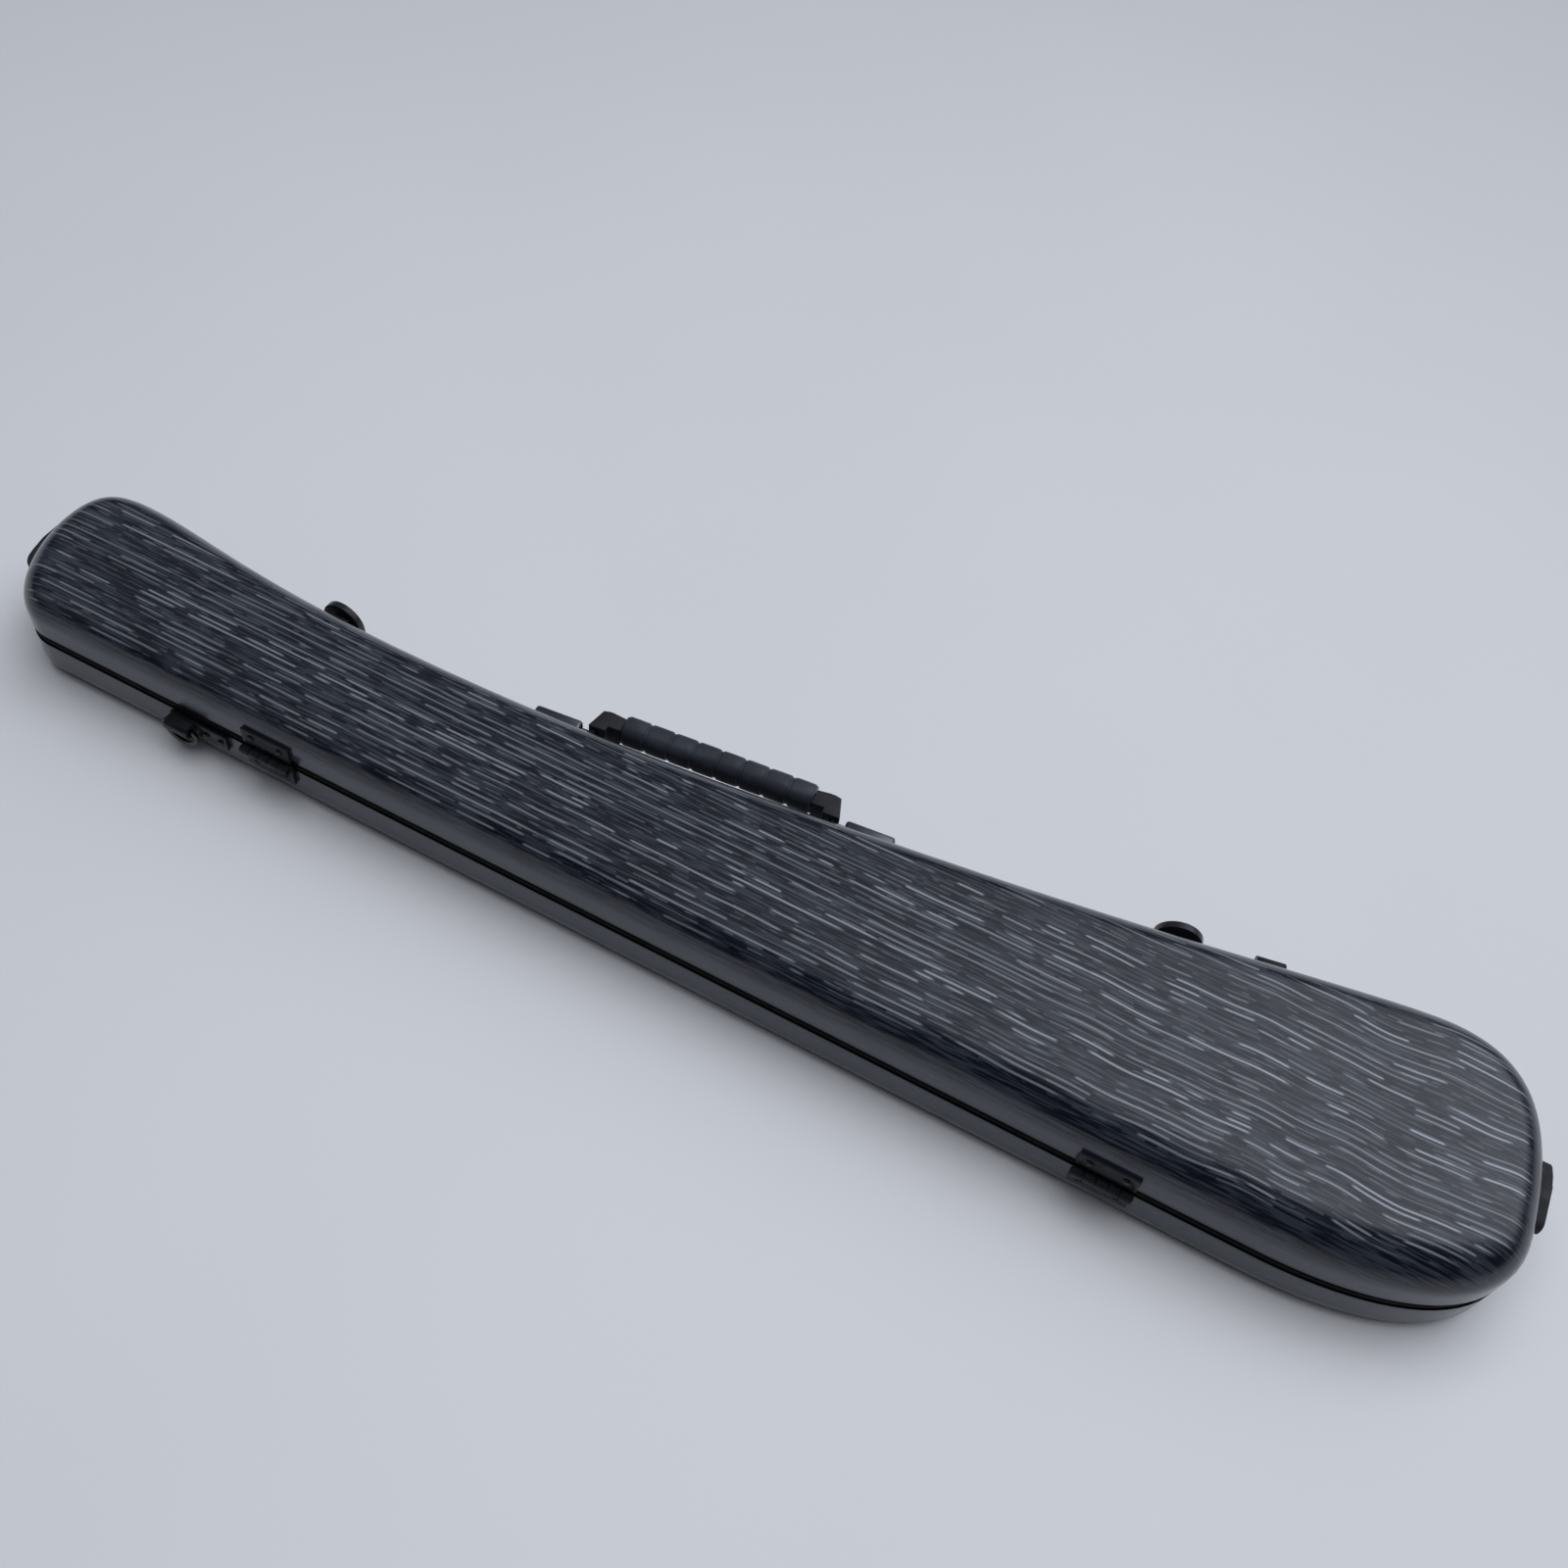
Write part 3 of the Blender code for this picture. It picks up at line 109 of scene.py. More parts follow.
class BowCaseFilm(bpy.types.PropertyGroup):
    """The streaked film that covers both shells."""
    ground: FloatVectorProperty(
        name="Ground", description="Colour between the streaks", subtype="COLOR", size=3,
        default=(0.0035, 0.0052, 0.0105), min=0, max=1)
    ground_light: FloatVectorProperty(
        name="Light Ground", description="Colour of the paler patches", subtype="COLOR", size=3,
        default=(0.0260, 0.0305, 0.0430), min=0, max=1)
    # Painted shade: the film is darkened in a band beside the edge strips, for the shade at the
    # seam, which widens the strips' dark band
    seam_shade: FloatVectorProperty(
        name="Edge Line", description="Colour of the film's turned edge beside the strips",
        subtype="COLOR", size=3, default=(0.0020, 0.0024, 0.0040), min=0, max=1)
    # Painted reflection: the walls get a lighter blue-grey than the top, standing in for the floor
    # they reflect
    wall_reflection: FloatVectorProperty(
        name="Wall Tone", description="Colour of the plainer film on the walls", subtype="COLOR",
        size=3, default=(0.0320, 0.0380, 0.0590), min=0, max=1)
    streak: FloatVectorProperty(
        name="Streak", description="Colour of the brightest streaks", subtype="COLOR", size=3,
        default=(0.315, 0.338, 0.385), min=0, max=1)
    pitch: FloatProperty(
        name="Row Pitch", description="Distance between rows of streaks", unit="LENGTH",
        default=0.0036)
    dash: FloatProperty(
        name="Dash Length", description="Usual length of a streak", unit="LENGTH", default=0.030)
    thickness: FloatProperty(
        name="Streak Width", description="Width of a streak", unit="LENGTH", default=0.00105)
    sway: FloatProperty(
        name="Sway", description="How far the rows wander at the wide end", unit="LENGTH",
        default=0.0040)
    roughness: FloatProperty(
        name="Roughness", description="Roughness of the film", subtype="FACTOR", default=0.20,
        min=0, max=1)


class BowCaseFinish(bpy.types.PropertyGroup):
    """Colours of the fittings, the handle and the lining."""
    strip: FloatVectorProperty(
        name="Edge Strip", description="Colour of the edge strips", subtype="COLOR", size=3,
        default=(0.0026, 0.0030, 0.0050), min=0, max=1)
    steel: FloatVectorProperty(
        name="Black Steel", description="Colour of the painted steel", subtype="COLOR", size=3,
        default=(0.0085, 0.0090, 0.0115), min=0, max=1)
    plastic: FloatVectorProperty(
        name="Black Plastic", description="Colour of the moulded plastic", subtype="COLOR",
        size=3, default=(0.0130, 0.0145, 0.0185), min=0, max=1)
    grip: FloatVectorProperty(
        name="Grip", description="Colour of the rubber grip", subtype="COLOR", size=3,
        default=(0.0230, 0.0265, 0.0360), min=0, max=1)
    bumper: FloatVectorProperty(
        name="Bumper", description="Colour of the end bumpers", subtype="COLOR", size=3,
        default=(0.0200, 0.0200, 0.0240), min=0, max=1)
    plating: FloatVectorProperty(
        name="Plating", description="Colour of the plated caps", subtype="COLOR", size=3,
        default=(0.180, 0.190, 0.215), min=0, max=1)
    bronze: FloatVectorProperty(
        name="Ring Bronze", description="Colour of the strap rings", subtype="COLOR", size=3,
        default=(0.105, 0.105, 0.080), min=0, max=1)
    plush: FloatVectorProperty(
        name="Plush", description="Colour of the bed and the lining", subtype="COLOR", size=3,
        default=(0.0420, 0.0470, 0.0700), min=0, max=1)


class BowCaseGrip(bpy.types.PropertyGroup):
    """The ribbed rubber grip."""
    half_length: FloatProperty(
        name="Half Length", description="Half the grip's length", unit="LENGTH", default=0.0510)
    half_depth: FloatProperty(
        name="Half Depth", description="Half the grip's depth, out from the wall",
        unit="LENGTH", default=0.00675)
    half_height: FloatProperty(
        name="Half Height", description="Half the grip's height", unit="LENGTH", default=0.0075)
    ribs: IntProperty(name="Ribs", description="Number of ribs", default=8, min=2)
    corner: FloatProperty(
        name="Corner", description="Rounding of the grip's long edges", unit="LENGTH",
        default=0.0056)


class BowCaseStage(bpy.types.PropertyGroup):
    """The floor and its light."""
    floor: FloatVectorProperty(
        name="Floor", description="Colour of the floor", subtype="COLOR", size=3,
        default=(0.642, 0.655, 0.692), min=0, max=1)
    lamp_power: FloatProperty(
        name="Lamp Power", description="Power of the overhead softbox", unit="POWER", default=39.0)
    room: FloatProperty(
        name="Room Light", description="Strength of the light from all round", default=1.0, min=0)


GROUPS = {"body": BowCaseBody, "film": BowCaseFilm, "finish": BowCaseFinish,
          "grip": BowCaseGrip, "stage": BowCaseStage}

# Least sideways part of a normal that the film is unrolled along
LEAST_OUT = 0.08

# Outline of the body seen from above: place along the length as a share, distance from the
# hinge wall as a share of the named width, heading in degrees, and reach of the two handles
KNOT_SHARES = (
    (0.0000, "tip_width", 0.625, 90, 0.320, 0.602),
    (0.0398, "tip_width", 1.0, 0, 0.388, 0.217),
    (0.2549, "neck_width", 1.0, 0, 0.594, 0.348),
    (0.6322, "flare_width", 1.0, 8, 0.382, 0.509),
    (0.9300, "frog_width", 1.0, 0, 0.109, 0.363),
    (1.0000, "frog_width", 0.392, -90, 0.607, 0.390),
    (0.8722, "frog_width", 0.0, 180, 0.346, 0.031),
    (0.0450, "tip_width", 0.0, 180, 0.031, 0.340),
)
OUTLINE_STEPS = 22
EDGE_SEGMENTS = 8
SMOOTH_ANGLE = math.radians(40)
WELD = 0.00001
# The lid's top: fewest corners of its flat face, its cells along and across, and how far in
# from its rim the crown rises
TOP_CORNERS = 8
CROWN_CELLS = (0.012, 0.006)
CROWN_REACH = 0.026


# Small helpers for pieces

def only(piece):
    """Leave one piece selected and active."""
    bpy.ops.object.select_all(action="DESELECT")
    piece.select_set(True)
    bpy.context.view_layer.objects.active = piece


def edit(piece):
    """Open a piece in edit mode with nothing selected."""
    only(piece)
    bpy.ops.object.mode_set(mode="EDIT")
    bpy.ops.mesh.select_mode(type="VERT")
    bpy.ops.mesh.select_all(action="DESELECT")


def close():
    """Leave edit mode."""
    bpy.ops.object.mode_set(mode="OBJECT")


def pick_faces(piece, wanted):
    """Select the faces that a test wants, in edit mode."""
    bpy.ops.mesh.select_mode(type="FACE")
    bpy.ops.mesh.select_all(action="DESELECT")
    shape = bmesh.from_edit_mesh(piece.data)
    for face in shape.faces:
        if wanted(face):
            face.select_set(True)
    bmesh.update_edit_mesh(piece.data)


def apply_all(piece):
    """Apply every modifier on a piece, in order."""
    only(piece)
    for modifier in list(piece.modifiers):
        bpy.ops.object.modifier_apply(modifier=modifier.name)


def settle(piece):
    """Put a piece's place, turn and scale into its mesh."""
    only(piece)
    bpy.ops.object.transform_apply(location=True, rotation=True, scale=True)


def smooth(piece, angle=SMOOTH_ANGLE):
    """Shade a piece smoothly, with sharp edges kept."""
    only(piece)
    bpy.ops.object.shade_smooth_by_angle(angle=angle)


def dress(piece, *materials):
    """Give a piece its materials, one to each slot."""
    piece.data.materials.clear()
    for material in materials:
        piece.data.materials.append(material)


def copy_node(node, name):
    """A merged copy of a CAD node's mesh, to be refined."""
    piece = bpy.data.objects.new(name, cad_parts[node].data.copy())
    bpy.context.scene.collection.objects.link(piece)
    edit(piece)
    bpy.ops.mesh.select_all(action="SELECT")
    bpy.ops.mesh.remove_doubles(threshold=WELD)
    bpy.ops.mesh.dissolve_limited(angle_limit=math.radians(0.5))
    close()
    return piece


def refine(node, body, material, width, segments=2, angle=30):
    """A copy of a hard CAD node with fine rounded edges, standing for it."""
    piece = copy_node(node, node + "_fine")
    bevel = piece.modifiers.new("rounding", "BEVEL")
    bevel.width = width
    bevel.segments = segments
    bevel.limit_method = "ANGLE"
    bevel.angle_limit = math.radians(angle)
    bevel.use_clamp_overlap = True
    apply_all(piece)
    smooth(piece)
    dress(piece, material)
    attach(piece, body)
    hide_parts(node)


def finish_nodes(material, *names):
    """Give carried-over CAD nodes a material."""
    for name in names:
        dress(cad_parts[name], material)


# Small helpers for materials

def new_material(name, colour, roughness, metallic=0.0):
    """A material with its shader's plain values set, and its node tree and shader."""
    material = bpy.data.materials.new(name)
    material.use_nodes = True
    tree = material.node_tree
    shader = tree.nodes["Principled BSDF"]
    shader.inputs["Base Color"].default_value = (*colour, 1)
    shader.inputs["Roughness"].default_value = roughness
    shader.inputs["Metallic"].default_value = metallic
    return material, tree, shader


def feed(tree, shader, **sockets):
    """Link sockets into a shader's inputs, named with _ for a space."""
    for name, socket in sockets.items():
        tree.links.new(socket, shader.inputs[name.replace("_", " ")])


def calc(tree, operation, *values):
    """A math node on sockets or numbers; returns its result."""
    node = tree.nodes.new("ShaderNodeMath")
    node.operation = operation
    for socket, value in zip(node.inputs, values):
        if isinstance(value, bpy.types.NodeSocket):
            tree.links.new(value, socket)
        else:
            socket.default_value = value
    return node.outputs[0]


def add(tree, first, second):
    """The sum of two sockets or numbers."""
    return calc(tree, "ADD", first, second)


def less(tree, first, second):
    """The difference of two sockets or numbers."""
    return calc(tree, "SUBTRACT", first, second)


def times(tree, first, second):
    """The product of two sockets or numbers."""
    return calc(tree, "MULTIPLY", first, second)


def ease(tree, value, low, high, to_low=0.0, to_high=1.0):
    """A smooth step of a value from one range to another."""
    node = tree.nodes.new("ShaderNodeMapRange")
    node.interpolation_type = "SMOOTHSTEP"
    tree.links.new(value, node.inputs["Value"])
    for name, number in (("From Min", low), ("From Max", high),
                         ("To Min", to_low), ("To Max", to_high)):
        if isinstance(number, bpy.types.NodeSocket):
            tree.links.new(number, node.inputs[name])
        else:
            node.inputs[name].default_value = number
    return node.outputs["Result"]


def place_of(tree):
    """Object coordinates."""
    return tree.nodes.new("ShaderNodeTexCoord").outputs["Object"]


def scaled(tree, vector, x, y, z):
    """A vector stretched along its axes."""
    node = tree.nodes.new("ShaderNodeMapping")
    node.inputs["Scale"].default_value = (x, y, z)
    tree.links.new(vector, node.inputs["Vector"])
    return node.outputs["Vector"]


def noise(tree, vector, scale, detail=2.0, rough=0.5):
    """A noise texture's value."""
    node = tree.nodes.new("ShaderNodeTexNoise")
    node.inputs["Scale"].default_value = scale
    node.inputs["Detail"].default_value = detail
    node.inputs["Roughness"].default_value = rough
    tree.links.new(vector, node.inputs["Vector"])
    return node.outputs["Fac"]


def blend(tree, factor, low, high):
    """A colour mixed between two colours or sockets."""
    node = tree.nodes.new("ShaderNodeMix")
    node.data_type = "RGBA"
    tree.links.new(factor, node.inputs["Factor"])
    for socket, value in ((node.inputs[6], low), (node.inputs[7], high)):
        if isinstance(value, bpy.types.NodeSocket):
            tree.links.new(value, socket)
        else:
            socket.default_value = (*value, 1)
    return node.outputs[2]


def relief(tree, shader, height, depth):
    """Bump on a shader from a height."""
    node = tree.nodes.new("ShaderNodeBump")
    node.inputs["Distance"].default_value = depth
    node.inputs["Strength"].default_value = 1.0
    tree.links.new(height, node.inputs["Height"])
    tree.links.new(node.outputs["Normal"], shader.inputs["Normal"])


def shade(colour, factor):
    """A colour made darker or lighter."""
    return tuple(channel * factor for channel in colour)


# Materials

# Heights from the seam between which the film changes
# Painted shade: the band beside the strips where the film is darkened for the shade at the seam
FILM_SEAM_SHADE = (0.0044, 0.0052)
# Painted reflection: the heights between which the walls turn to their lighter blue-grey
FILM_WALL_REFLECTION = (0.0130, 0.0190)
# Heights at which the streaks fade out down the shoulders: partly the walls' plainer film, partly
# painted shade for the dark reflection along the shoulders
STREAK_FADE_SHADE_LOW, STREAK_FADE_SHADE_HIGH = 0.0215, 0.0255
# How much higher the streaks fade on the far side and towards the wide end, as painted shade for
# the broader dark reflection on those shoulders
FAR_SHADE_LOW, FAR_SHADE_HIGH = 0.0053, 0.0047
# Places along the case, and across it, between which the streaks change
SHADE_RISE_ALONG = (-0.06, 0.18)
SHADE_RISE_ACROSS = (-0.012, 0.012)
SWAY_ALONG = (0.06, 0.36)
STRENGTH_ALONG = (-0.38, 0.10)
# Shares of a row: where a streak's middle may lie, and how sharply its sides end
ROW_JITTER_SHARE = 0.40
LINE_CORE_SHARE, LINE_EDGE_SHARE = 0.20, 1.55
# Noise levels at which a streak starts, for usual rows and for rows of long streaks
DASH_LEVEL, LONG_ROW_DROP, DASH_SOFTNESS = 0.485, 0.20, 0.055
ROW_LANE = 7.31
# The finer rows between the main ones, against the main rows
FINE_PITCH_SHARE, FINE_WIDTH_SHARE, FINE_RATE, FINE_STRENGTH = 0.71, 0.8, 2.2, 0.24
STREAK_METAL, STREAK_HAZE = 0.50, 0.16
FILM_RELIEF = 0.00022


def streak_rows(tree, along, across, pitch, thickness, rate, seed):
    """Thin dashed lines in rows: their strength at each point."""
    shifted = add(tree, calc(tree, "DIVIDE", across, pitch), seed)
    row = calc(tree, "FLOOR", shifted)
    white = tree.nodes.new("ShaderNodeTexWhiteNoise")
    white.noise_dimensions = "1D"
    tree.links.new(row, white.inputs["W"])
    parts = tree.nodes.new("ShaderNodeSeparateColor")
    tree.links.new(white.outputs["Color"], parts.inputs["Color"])
    shift, length, glow = parts.outputs
    jitter = times(tree, less(tree, shift, 0.5), ROW_JITTER_SHARE)
    spot = less(tree, less(tree, calc(tree, "FRACT", shifted), 0.5), jitter)
    half = thickness / pitch / 2
    from_line = calc(tree, "ABSOLUTE", spot)
    line = ease(tree, from_line, half * LINE_CORE_SHARE, half * LINE_EDGE_SHARE, 1.0, 0.0)
    spread = tree.nodes.new("ShaderNodeCombineXYZ")
    tree.links.new(times(tree, along, rate), spread.inputs[0])
    tree.links.new(times(tree, row, ROW_LANE), spread.inputs[1])
    wave = tree.nodes.new("ShaderNodeTexNoise")
    wave.noise_dimensions = "2D"
    wave.inputs["Scale"].default_value = 1.0
    wave.inputs["Detail"].default_value = 1.0
    tree.links.new(spread.outputs[0], wave.inputs["Vector"])
    long_row = ease(tree, length, 0.80, 0.86)
    edge = less(tree, DASH_LEVEL, times(tree, long_row, LONG_ROW_DROP))
    dash = ease(tree, wave.outputs["Fac"], edge, add(tree, edge, DASH_SOFTNESS))
    bright = add(tree, 0.38, times(tree, glow, 0.62))
    return times(tree, times(tree, line, dash), bright)


def film_material(look):
    """Glossy film with dashed pale streaks that run along the case."""
    material, tree, shader = new_material("streaked_film", look.ground, look.roughness)
    chart = tree.nodes.new("ShaderNodeUVMap")
    chart.uv_map = "film"
    place = chart.outputs["UV"]
    parts = tree.nodes.new("ShaderNodeSeparateXYZ")
    tree.links.new(place, parts.inputs[0])
    along, across = parts.outputs[0], parts.outputs[1]
    wide = ease(tree, along, *SWAY_ALONG, 0.08, 1.0)
    slow = noise(tree, scaled(tree, place, 1.0, 0.42, 1.0), scale=17.0, detail=1.0)
    drift = times(tree, less(tree, slow, 0.5), look.sway * 3)
    across = add(tree, across, times(tree, drift, wide))
    rate = 1 / look.dash
    main = streak_rows(tree, along, across, look.pitch, look.thickness, rate, 41.0)
    fine = streak_rows(tree, along, across, look.pitch * FINE_PITCH_SHARE,
                       look.thickness * FINE_WIDTH_SHARE, rate * FINE_RATE, 17.5)
    streaks = calc(tree, "MAXIMUM", main, times(tree, fine, FINE_STRENGTH))
    spot = tree.nodes.new("ShaderNodeSeparateXYZ")
    tree.links.new(place_of(tree), spot.inputs[0])
    from_seam = calc(tree, "ABSOLUTE", less(tree, spot.outputs[2], SEAM_HEIGHT))
    # The streaks fade down the shoulders, higher on the far side and at the wide end: partly the
    # walls' plainer film, partly painted shade for the shoulders' dark reflection
    far = calc(tree, "MAXIMUM", ease(tree, along, *SHADE_RISE_ALONG),
               ease(tree, spot.outputs[1], *SHADE_RISE_ACROSS))
    shade_fade_low = add(tree, STREAK_FADE_SHADE_LOW, times(tree, far, FAR_SHADE_LOW))
    shade_fade_high = add(tree, STREAK_FADE_SHADE_HIGH, times(tree, far, FAR_SHADE_HIGH))
    on_top = ease(tree, from_seam, shade_fade_low, shade_fade_high)
    strength = times(tree, on_top, ease(tree, along, *STRENGTH_ALONG, 0.78, 1.0))
    streaks = times(tree, streaks, add(tree, 0.05, times(tree, strength, 0.95)))
    patches = noise(tree, scaled(tree, place, 0.5, 1.6, 1.0), scale=46.0, detail=2.0)
    weave = noise(tree, scaled(tree, place, 0.06, 1.0, 1.0), scale=820.0, detail=1.0, rough=0.6)
    mottle = add(tree, times(tree, patches, 0.30), times(tree, weave, 0.70))
    ground = blend(tree, ease(tree, mottle, 0.44, 0.58), look.ground, look.ground_light)
    # Painted reflection: the walls are lightened to a blue-grey for the floor they reflect
    ground = blend(tree, ease(tree, from_seam, *FILM_WALL_REFLECTION), look.wall_reflection, ground)
    # Painted shade: the film is darkened next to the strips, widening the seam's dark band
    ground = blend(tree, ease(tree, from_seam, *FILM_SEAM_SHADE), look.seam_shade, ground)
    haze = noise(tree, place_of(tree), scale=34.0, detail=3.0)
    rough = ease(tree, haze, 0.3, 0.7, look.roughness - 0.04, look.roughness + 0.08)
    feed(tree, shader, Base_Color=blend(tree, streaks, ground, look.streak),
         Metallic=times(tree, streaks, STREAK_METAL),
         Roughness=add(tree, rough, times(tree, streaks, STREAK_HAZE)))
    shader.inputs["Coat Weight"].default_value = 0.12
    shader.inputs["Coat Roughness"].default_value = 0.12
    ripple = noise(tree, place_of(tree), scale=60.0, detail=2.0)
    height = add(tree, times(tree, streaks, 0.10), times(tree, ripple, 0.5))
    relief(tree, shader, height, FILM_RELIEF)
    return material


BARE_STEEL = (0.085, 0.085, 0.090)


def moulded_material(name, colour, roughness, grain=1500.0, depth=0.00003):
    """Moulded plastic or rubber: fine grain, faint dust and rubbed patches."""
    material, tree, shader = new_material(name, colour, roughness)
    place = place_of(tree)
    rub = ease(tree, noise(tree, place, scale=70.0, detail=4.0, rough=0.6), 0.42, 0.68)
    feed(tree, shader, Base_Color=blend(tree, rub, shade(colour, 0.85), shade(colour, 1.35)),
         Roughness=ease(tree, rub, 0.0, 1.0, roughness + 0.06, roughness - 0.07))
    grains = noise(tree, place, grain, detail=1.0)
    relief(tree, shader, add(tree, grains, times(tree, rub, 0.4)), depth)
    return material


def painted_steel_material(name, colour, roughness):
    """Black painted steel with fine orange peel and rubbed spots of bare metal."""
    material, tree, shader = new_material(name, colour, roughness, metallic=0.35)
    place = place_of(tree)
    wear = ease(tree, noise(tree, place, scale=210.0, detail=5.0, rough=0.7), 0.66, 0.74)
    patches = noise(tree, place, scale=120.0, detail=3.0)
    feed(tree, shader, Base_Color=blend(tree, wear, colour, BARE_STEEL),
         Roughness=ease(tree, patches, 0.3, 0.7, roughness - 0.06, roughness + 0.10))
    relief(tree, shader, noise(tree, place, scale=900.0, detail=2.0), depth=0.00003)
    return material


def plated_material(name, colour, roughness, brush=(60.0, 900.0, 900.0)):
    """Brushed plated metal with faint smears."""
    material, tree, shader = new_material(name, colour, roughness, metallic=1.0)
    place = place_of(tree)
    lines = noise(tree, scaled(tree, place, *brush), scale=1.0, detail=3.0, rough=0.7)
    smear = ease(tree, noise(tree, place, scale=90.0, detail=3.0), 0.35, 0.7)
    feed(tree, shader, Base_Color=blend(tree, smear, shade(colour, 0.82), colour),
         Roughness=ease(tree, lines, 0.3, 0.7, roughness - 0.06, roughness + 0.12))
    relief(tree, shader, lines, depth=0.00001)
    return material


def plush_material(name, colour):
    """Short-pile plush: soft clumps that catch the light, and a fine nap."""
    material, tree, shader = new_material(name, colour, roughness=0.95)
    place = place_of(tree)
    clumps = ease(tree, noise(tree, place, scale=55.0, detail=4.0, rough=0.6), 0.35, 0.68)
    nap = noise(tree, place, scale=1300.0, detail=2.0, rough=0.7)
    fibres = add(tree, times(tree, clumps, 0.6), times(tree, nap, 0.5))
    feed(tree, shader, Base_Color=blend(tree, fibres, shade(colour, 0.55), shade(colour, 1.7)))
    shader.inputs["Sheen Weight"].default_value = 0.35
    shader.inputs["Sheen Roughness"].default_value = 0.45
    shader.inputs["Specular IOR Level"].default_value = 0.2
    relief(tree, shader, fibres, depth=0.00045)
    return material


def floor_material(colour):
    """Smooth pale card with barely visible mottling."""
    material, tree, shader = new_material("pale_card", colour, roughness=0.62)
    place = place_of(tree)
    cloud = ease(tree, noise(tree, place, scale=2.2, detail=3.0), 0.3, 0.7)
    feed(tree, shader, Base_Color=blend(tree, cloud, shade(colour, 0.985), shade(colour, 1.015)))
    relief(tree, shader, noise(tree, place, scale=700.0, detail=2.0), depth=0.00002)
    return material


# Shells and edge strips

def outline_loop(name, body):
    """The body's outline, drawn as a closed curve and made a loop of edges."""
    data = bpy.data.curves.new(name, "CURVE")
    data.dimensions = "2D"
    data.fill_mode = "NONE"
    data.resolution_u = OUTLINE_STEPS
    hinge_wall = -body.tip_width / 2
    knots = []
    for along, width, across, heading, before, ahead in KNOT_SHARES:
        turn = math.radians(heading)
        place = Vector((body.length * (along - 0.5),
                        hinge_wall + getattr(body, width) * across, 0))
        knots.append((place, Vector((math.cos(turn), math.sin(turn), 0)), before, ahead))
    spline = data.splines.new("BEZIER")
    spline.bezier_points.add(len(knots) - 1)
    spline.use_cyclic_u = True
    for index, (place, way, before, ahead) in enumerate(knots):
        point = spline.bezier_points[index]
        point.handle_left_type = "FREE"
        point.handle_right_type = "FREE"
        chord_back = (place - knots[index - 1][0]).length
        chord_on = (knots[(index + 1) % len(knots)][0] - place).length
        point.co = place
        point.handle_left = place - way * chord_back * before
        point.handle_right = place + way * chord_on * ahead
    piece = bpy.data.objects.new(name, data)
    bpy.context.scene.collection.objects.link(piece)
    return piece


def shell_piece(name, body, edge, face, radius, crown, materials):
    """A smooth open tray: rim at height edge, flat face at height face, lined inside."""
    piece = outline_loop(name, body)
    only(piece)
    bpy.ops.object.convert(target="MESH")
    edit(piece)
    bpy.ops.mesh.select_all(action="SELECT")
    bpy.ops.mesh.remove_doubles(threshold=WELD)
    bpy.ops.transform.translate(value=(0, 0, edge))
    bpy.ops.mesh.extrude_region_move(TRANSFORM_OT_translate={"value": (0, 0, face - edge)})
    bpy.ops.mesh.edge_face_add()
    bpy.ops.mesh.bevel(offset=radius, offset_type="OFFSET", segments=EDGE_SEGMENTS, affect="EDGES")
    if crown:
        raise_crown(piece, face, crown)
    pick_faces(piece, lambda face: True)
    bpy.ops.mesh.normals_make_consistent(inside=False)
    flat = max(bmesh.from_edit_mesh(piece.data).faces, key=lambda face: face.calc_area())
    if flat.normal.z * (face - edge) < 0:
        bpy.ops.mesh.flip_normals()
    close()
    dress(piece, *materials)
    wall = piece.modifiers.new("wall", "SOLIDIFY")
    wall.thickness = body.wall
    wall.offset = -1
    wall.use_even_offset = True
    wall.material_offset = 1
    apply_all(piece)
    lay_film(piece, face, radius)
    return piece


def raise_crown(piece, height, crown):
    """Cut the flat top into a grid and lift its middle into a low crown."""
    pick_faces(piece, lambda face: len(face.verts) > TOP_CORNERS)
    shape = bmesh.from_edit_mesh(piece.data)
    corners = [vertex.co.copy() for face in shape.faces if face.select for vertex in face.verts]
    rim = KDTree(len(corners))
    for index, corner in enumerate(corners):
        rim.insert(corner, index)
    rim.balance()
    low = Vector([min(corner[axis] for corner in corners) for axis in range(3)])
    high = Vector([max(corner[axis] for corner in corners) for axis in range(3)])
    for axis, normal in ((0, (1, 0, 0)), (1, (0, 1, 0))):
        cuts = int((high[axis] - low[axis]) / CROWN_CELLS[axis])
        for cut in range(1, cuts):
            place = low.lerp(high, cut / cuts)
            pick_faces(piece, lambda face: abs(face.calc_center_median().z - height) < WELD)
            bpy.ops.mesh.bisect(plane_co=place, plane_no=normal)
    for vertex in bmesh.from_edit_mesh(piece.data).verts:
        if abs(vertex.co.z - height) < WELD:
            share = min(1.0, rim.find(vertex.co)[2] / CROWN_REACH)
            vertex.co.z += crown * share * share * (3 - 2 * share)
    bmesh.update_edit_mesh(piece.data)


def lay_film(piece, face, radius):
    """UV map in metres that unrolls the wall and the rounded edge onto the flat face."""
    chart = piece.data.uv_layers.new(name="film")
    unrolled = []
    # What the rounded edge unrolls to, beyond its radius
    quarter = radius * (math.pi / 2 - 1)
    for vertex in piece.data.vertices:
        depth = abs(face - vertex.co.z)
        if depth >= radius:
            drop = quarter + depth - radius
        else:
            turn = math.acos(max(-1.0, min(1.0, 1 - depth / radius)))
            drop = radius * (turn - math.sin(turn))
        out = Vector((vertex.normal.x, vertex.normal.y))
        out = out.normalized() if out.length > LEAST_OUT else Vector((0, 0))
        unrolled.append(vertex.co.xy + out * drop)
    for loop in piece.data.loops:
        chart.data[loop.index].uv = unrolled[loop.vertex_index]


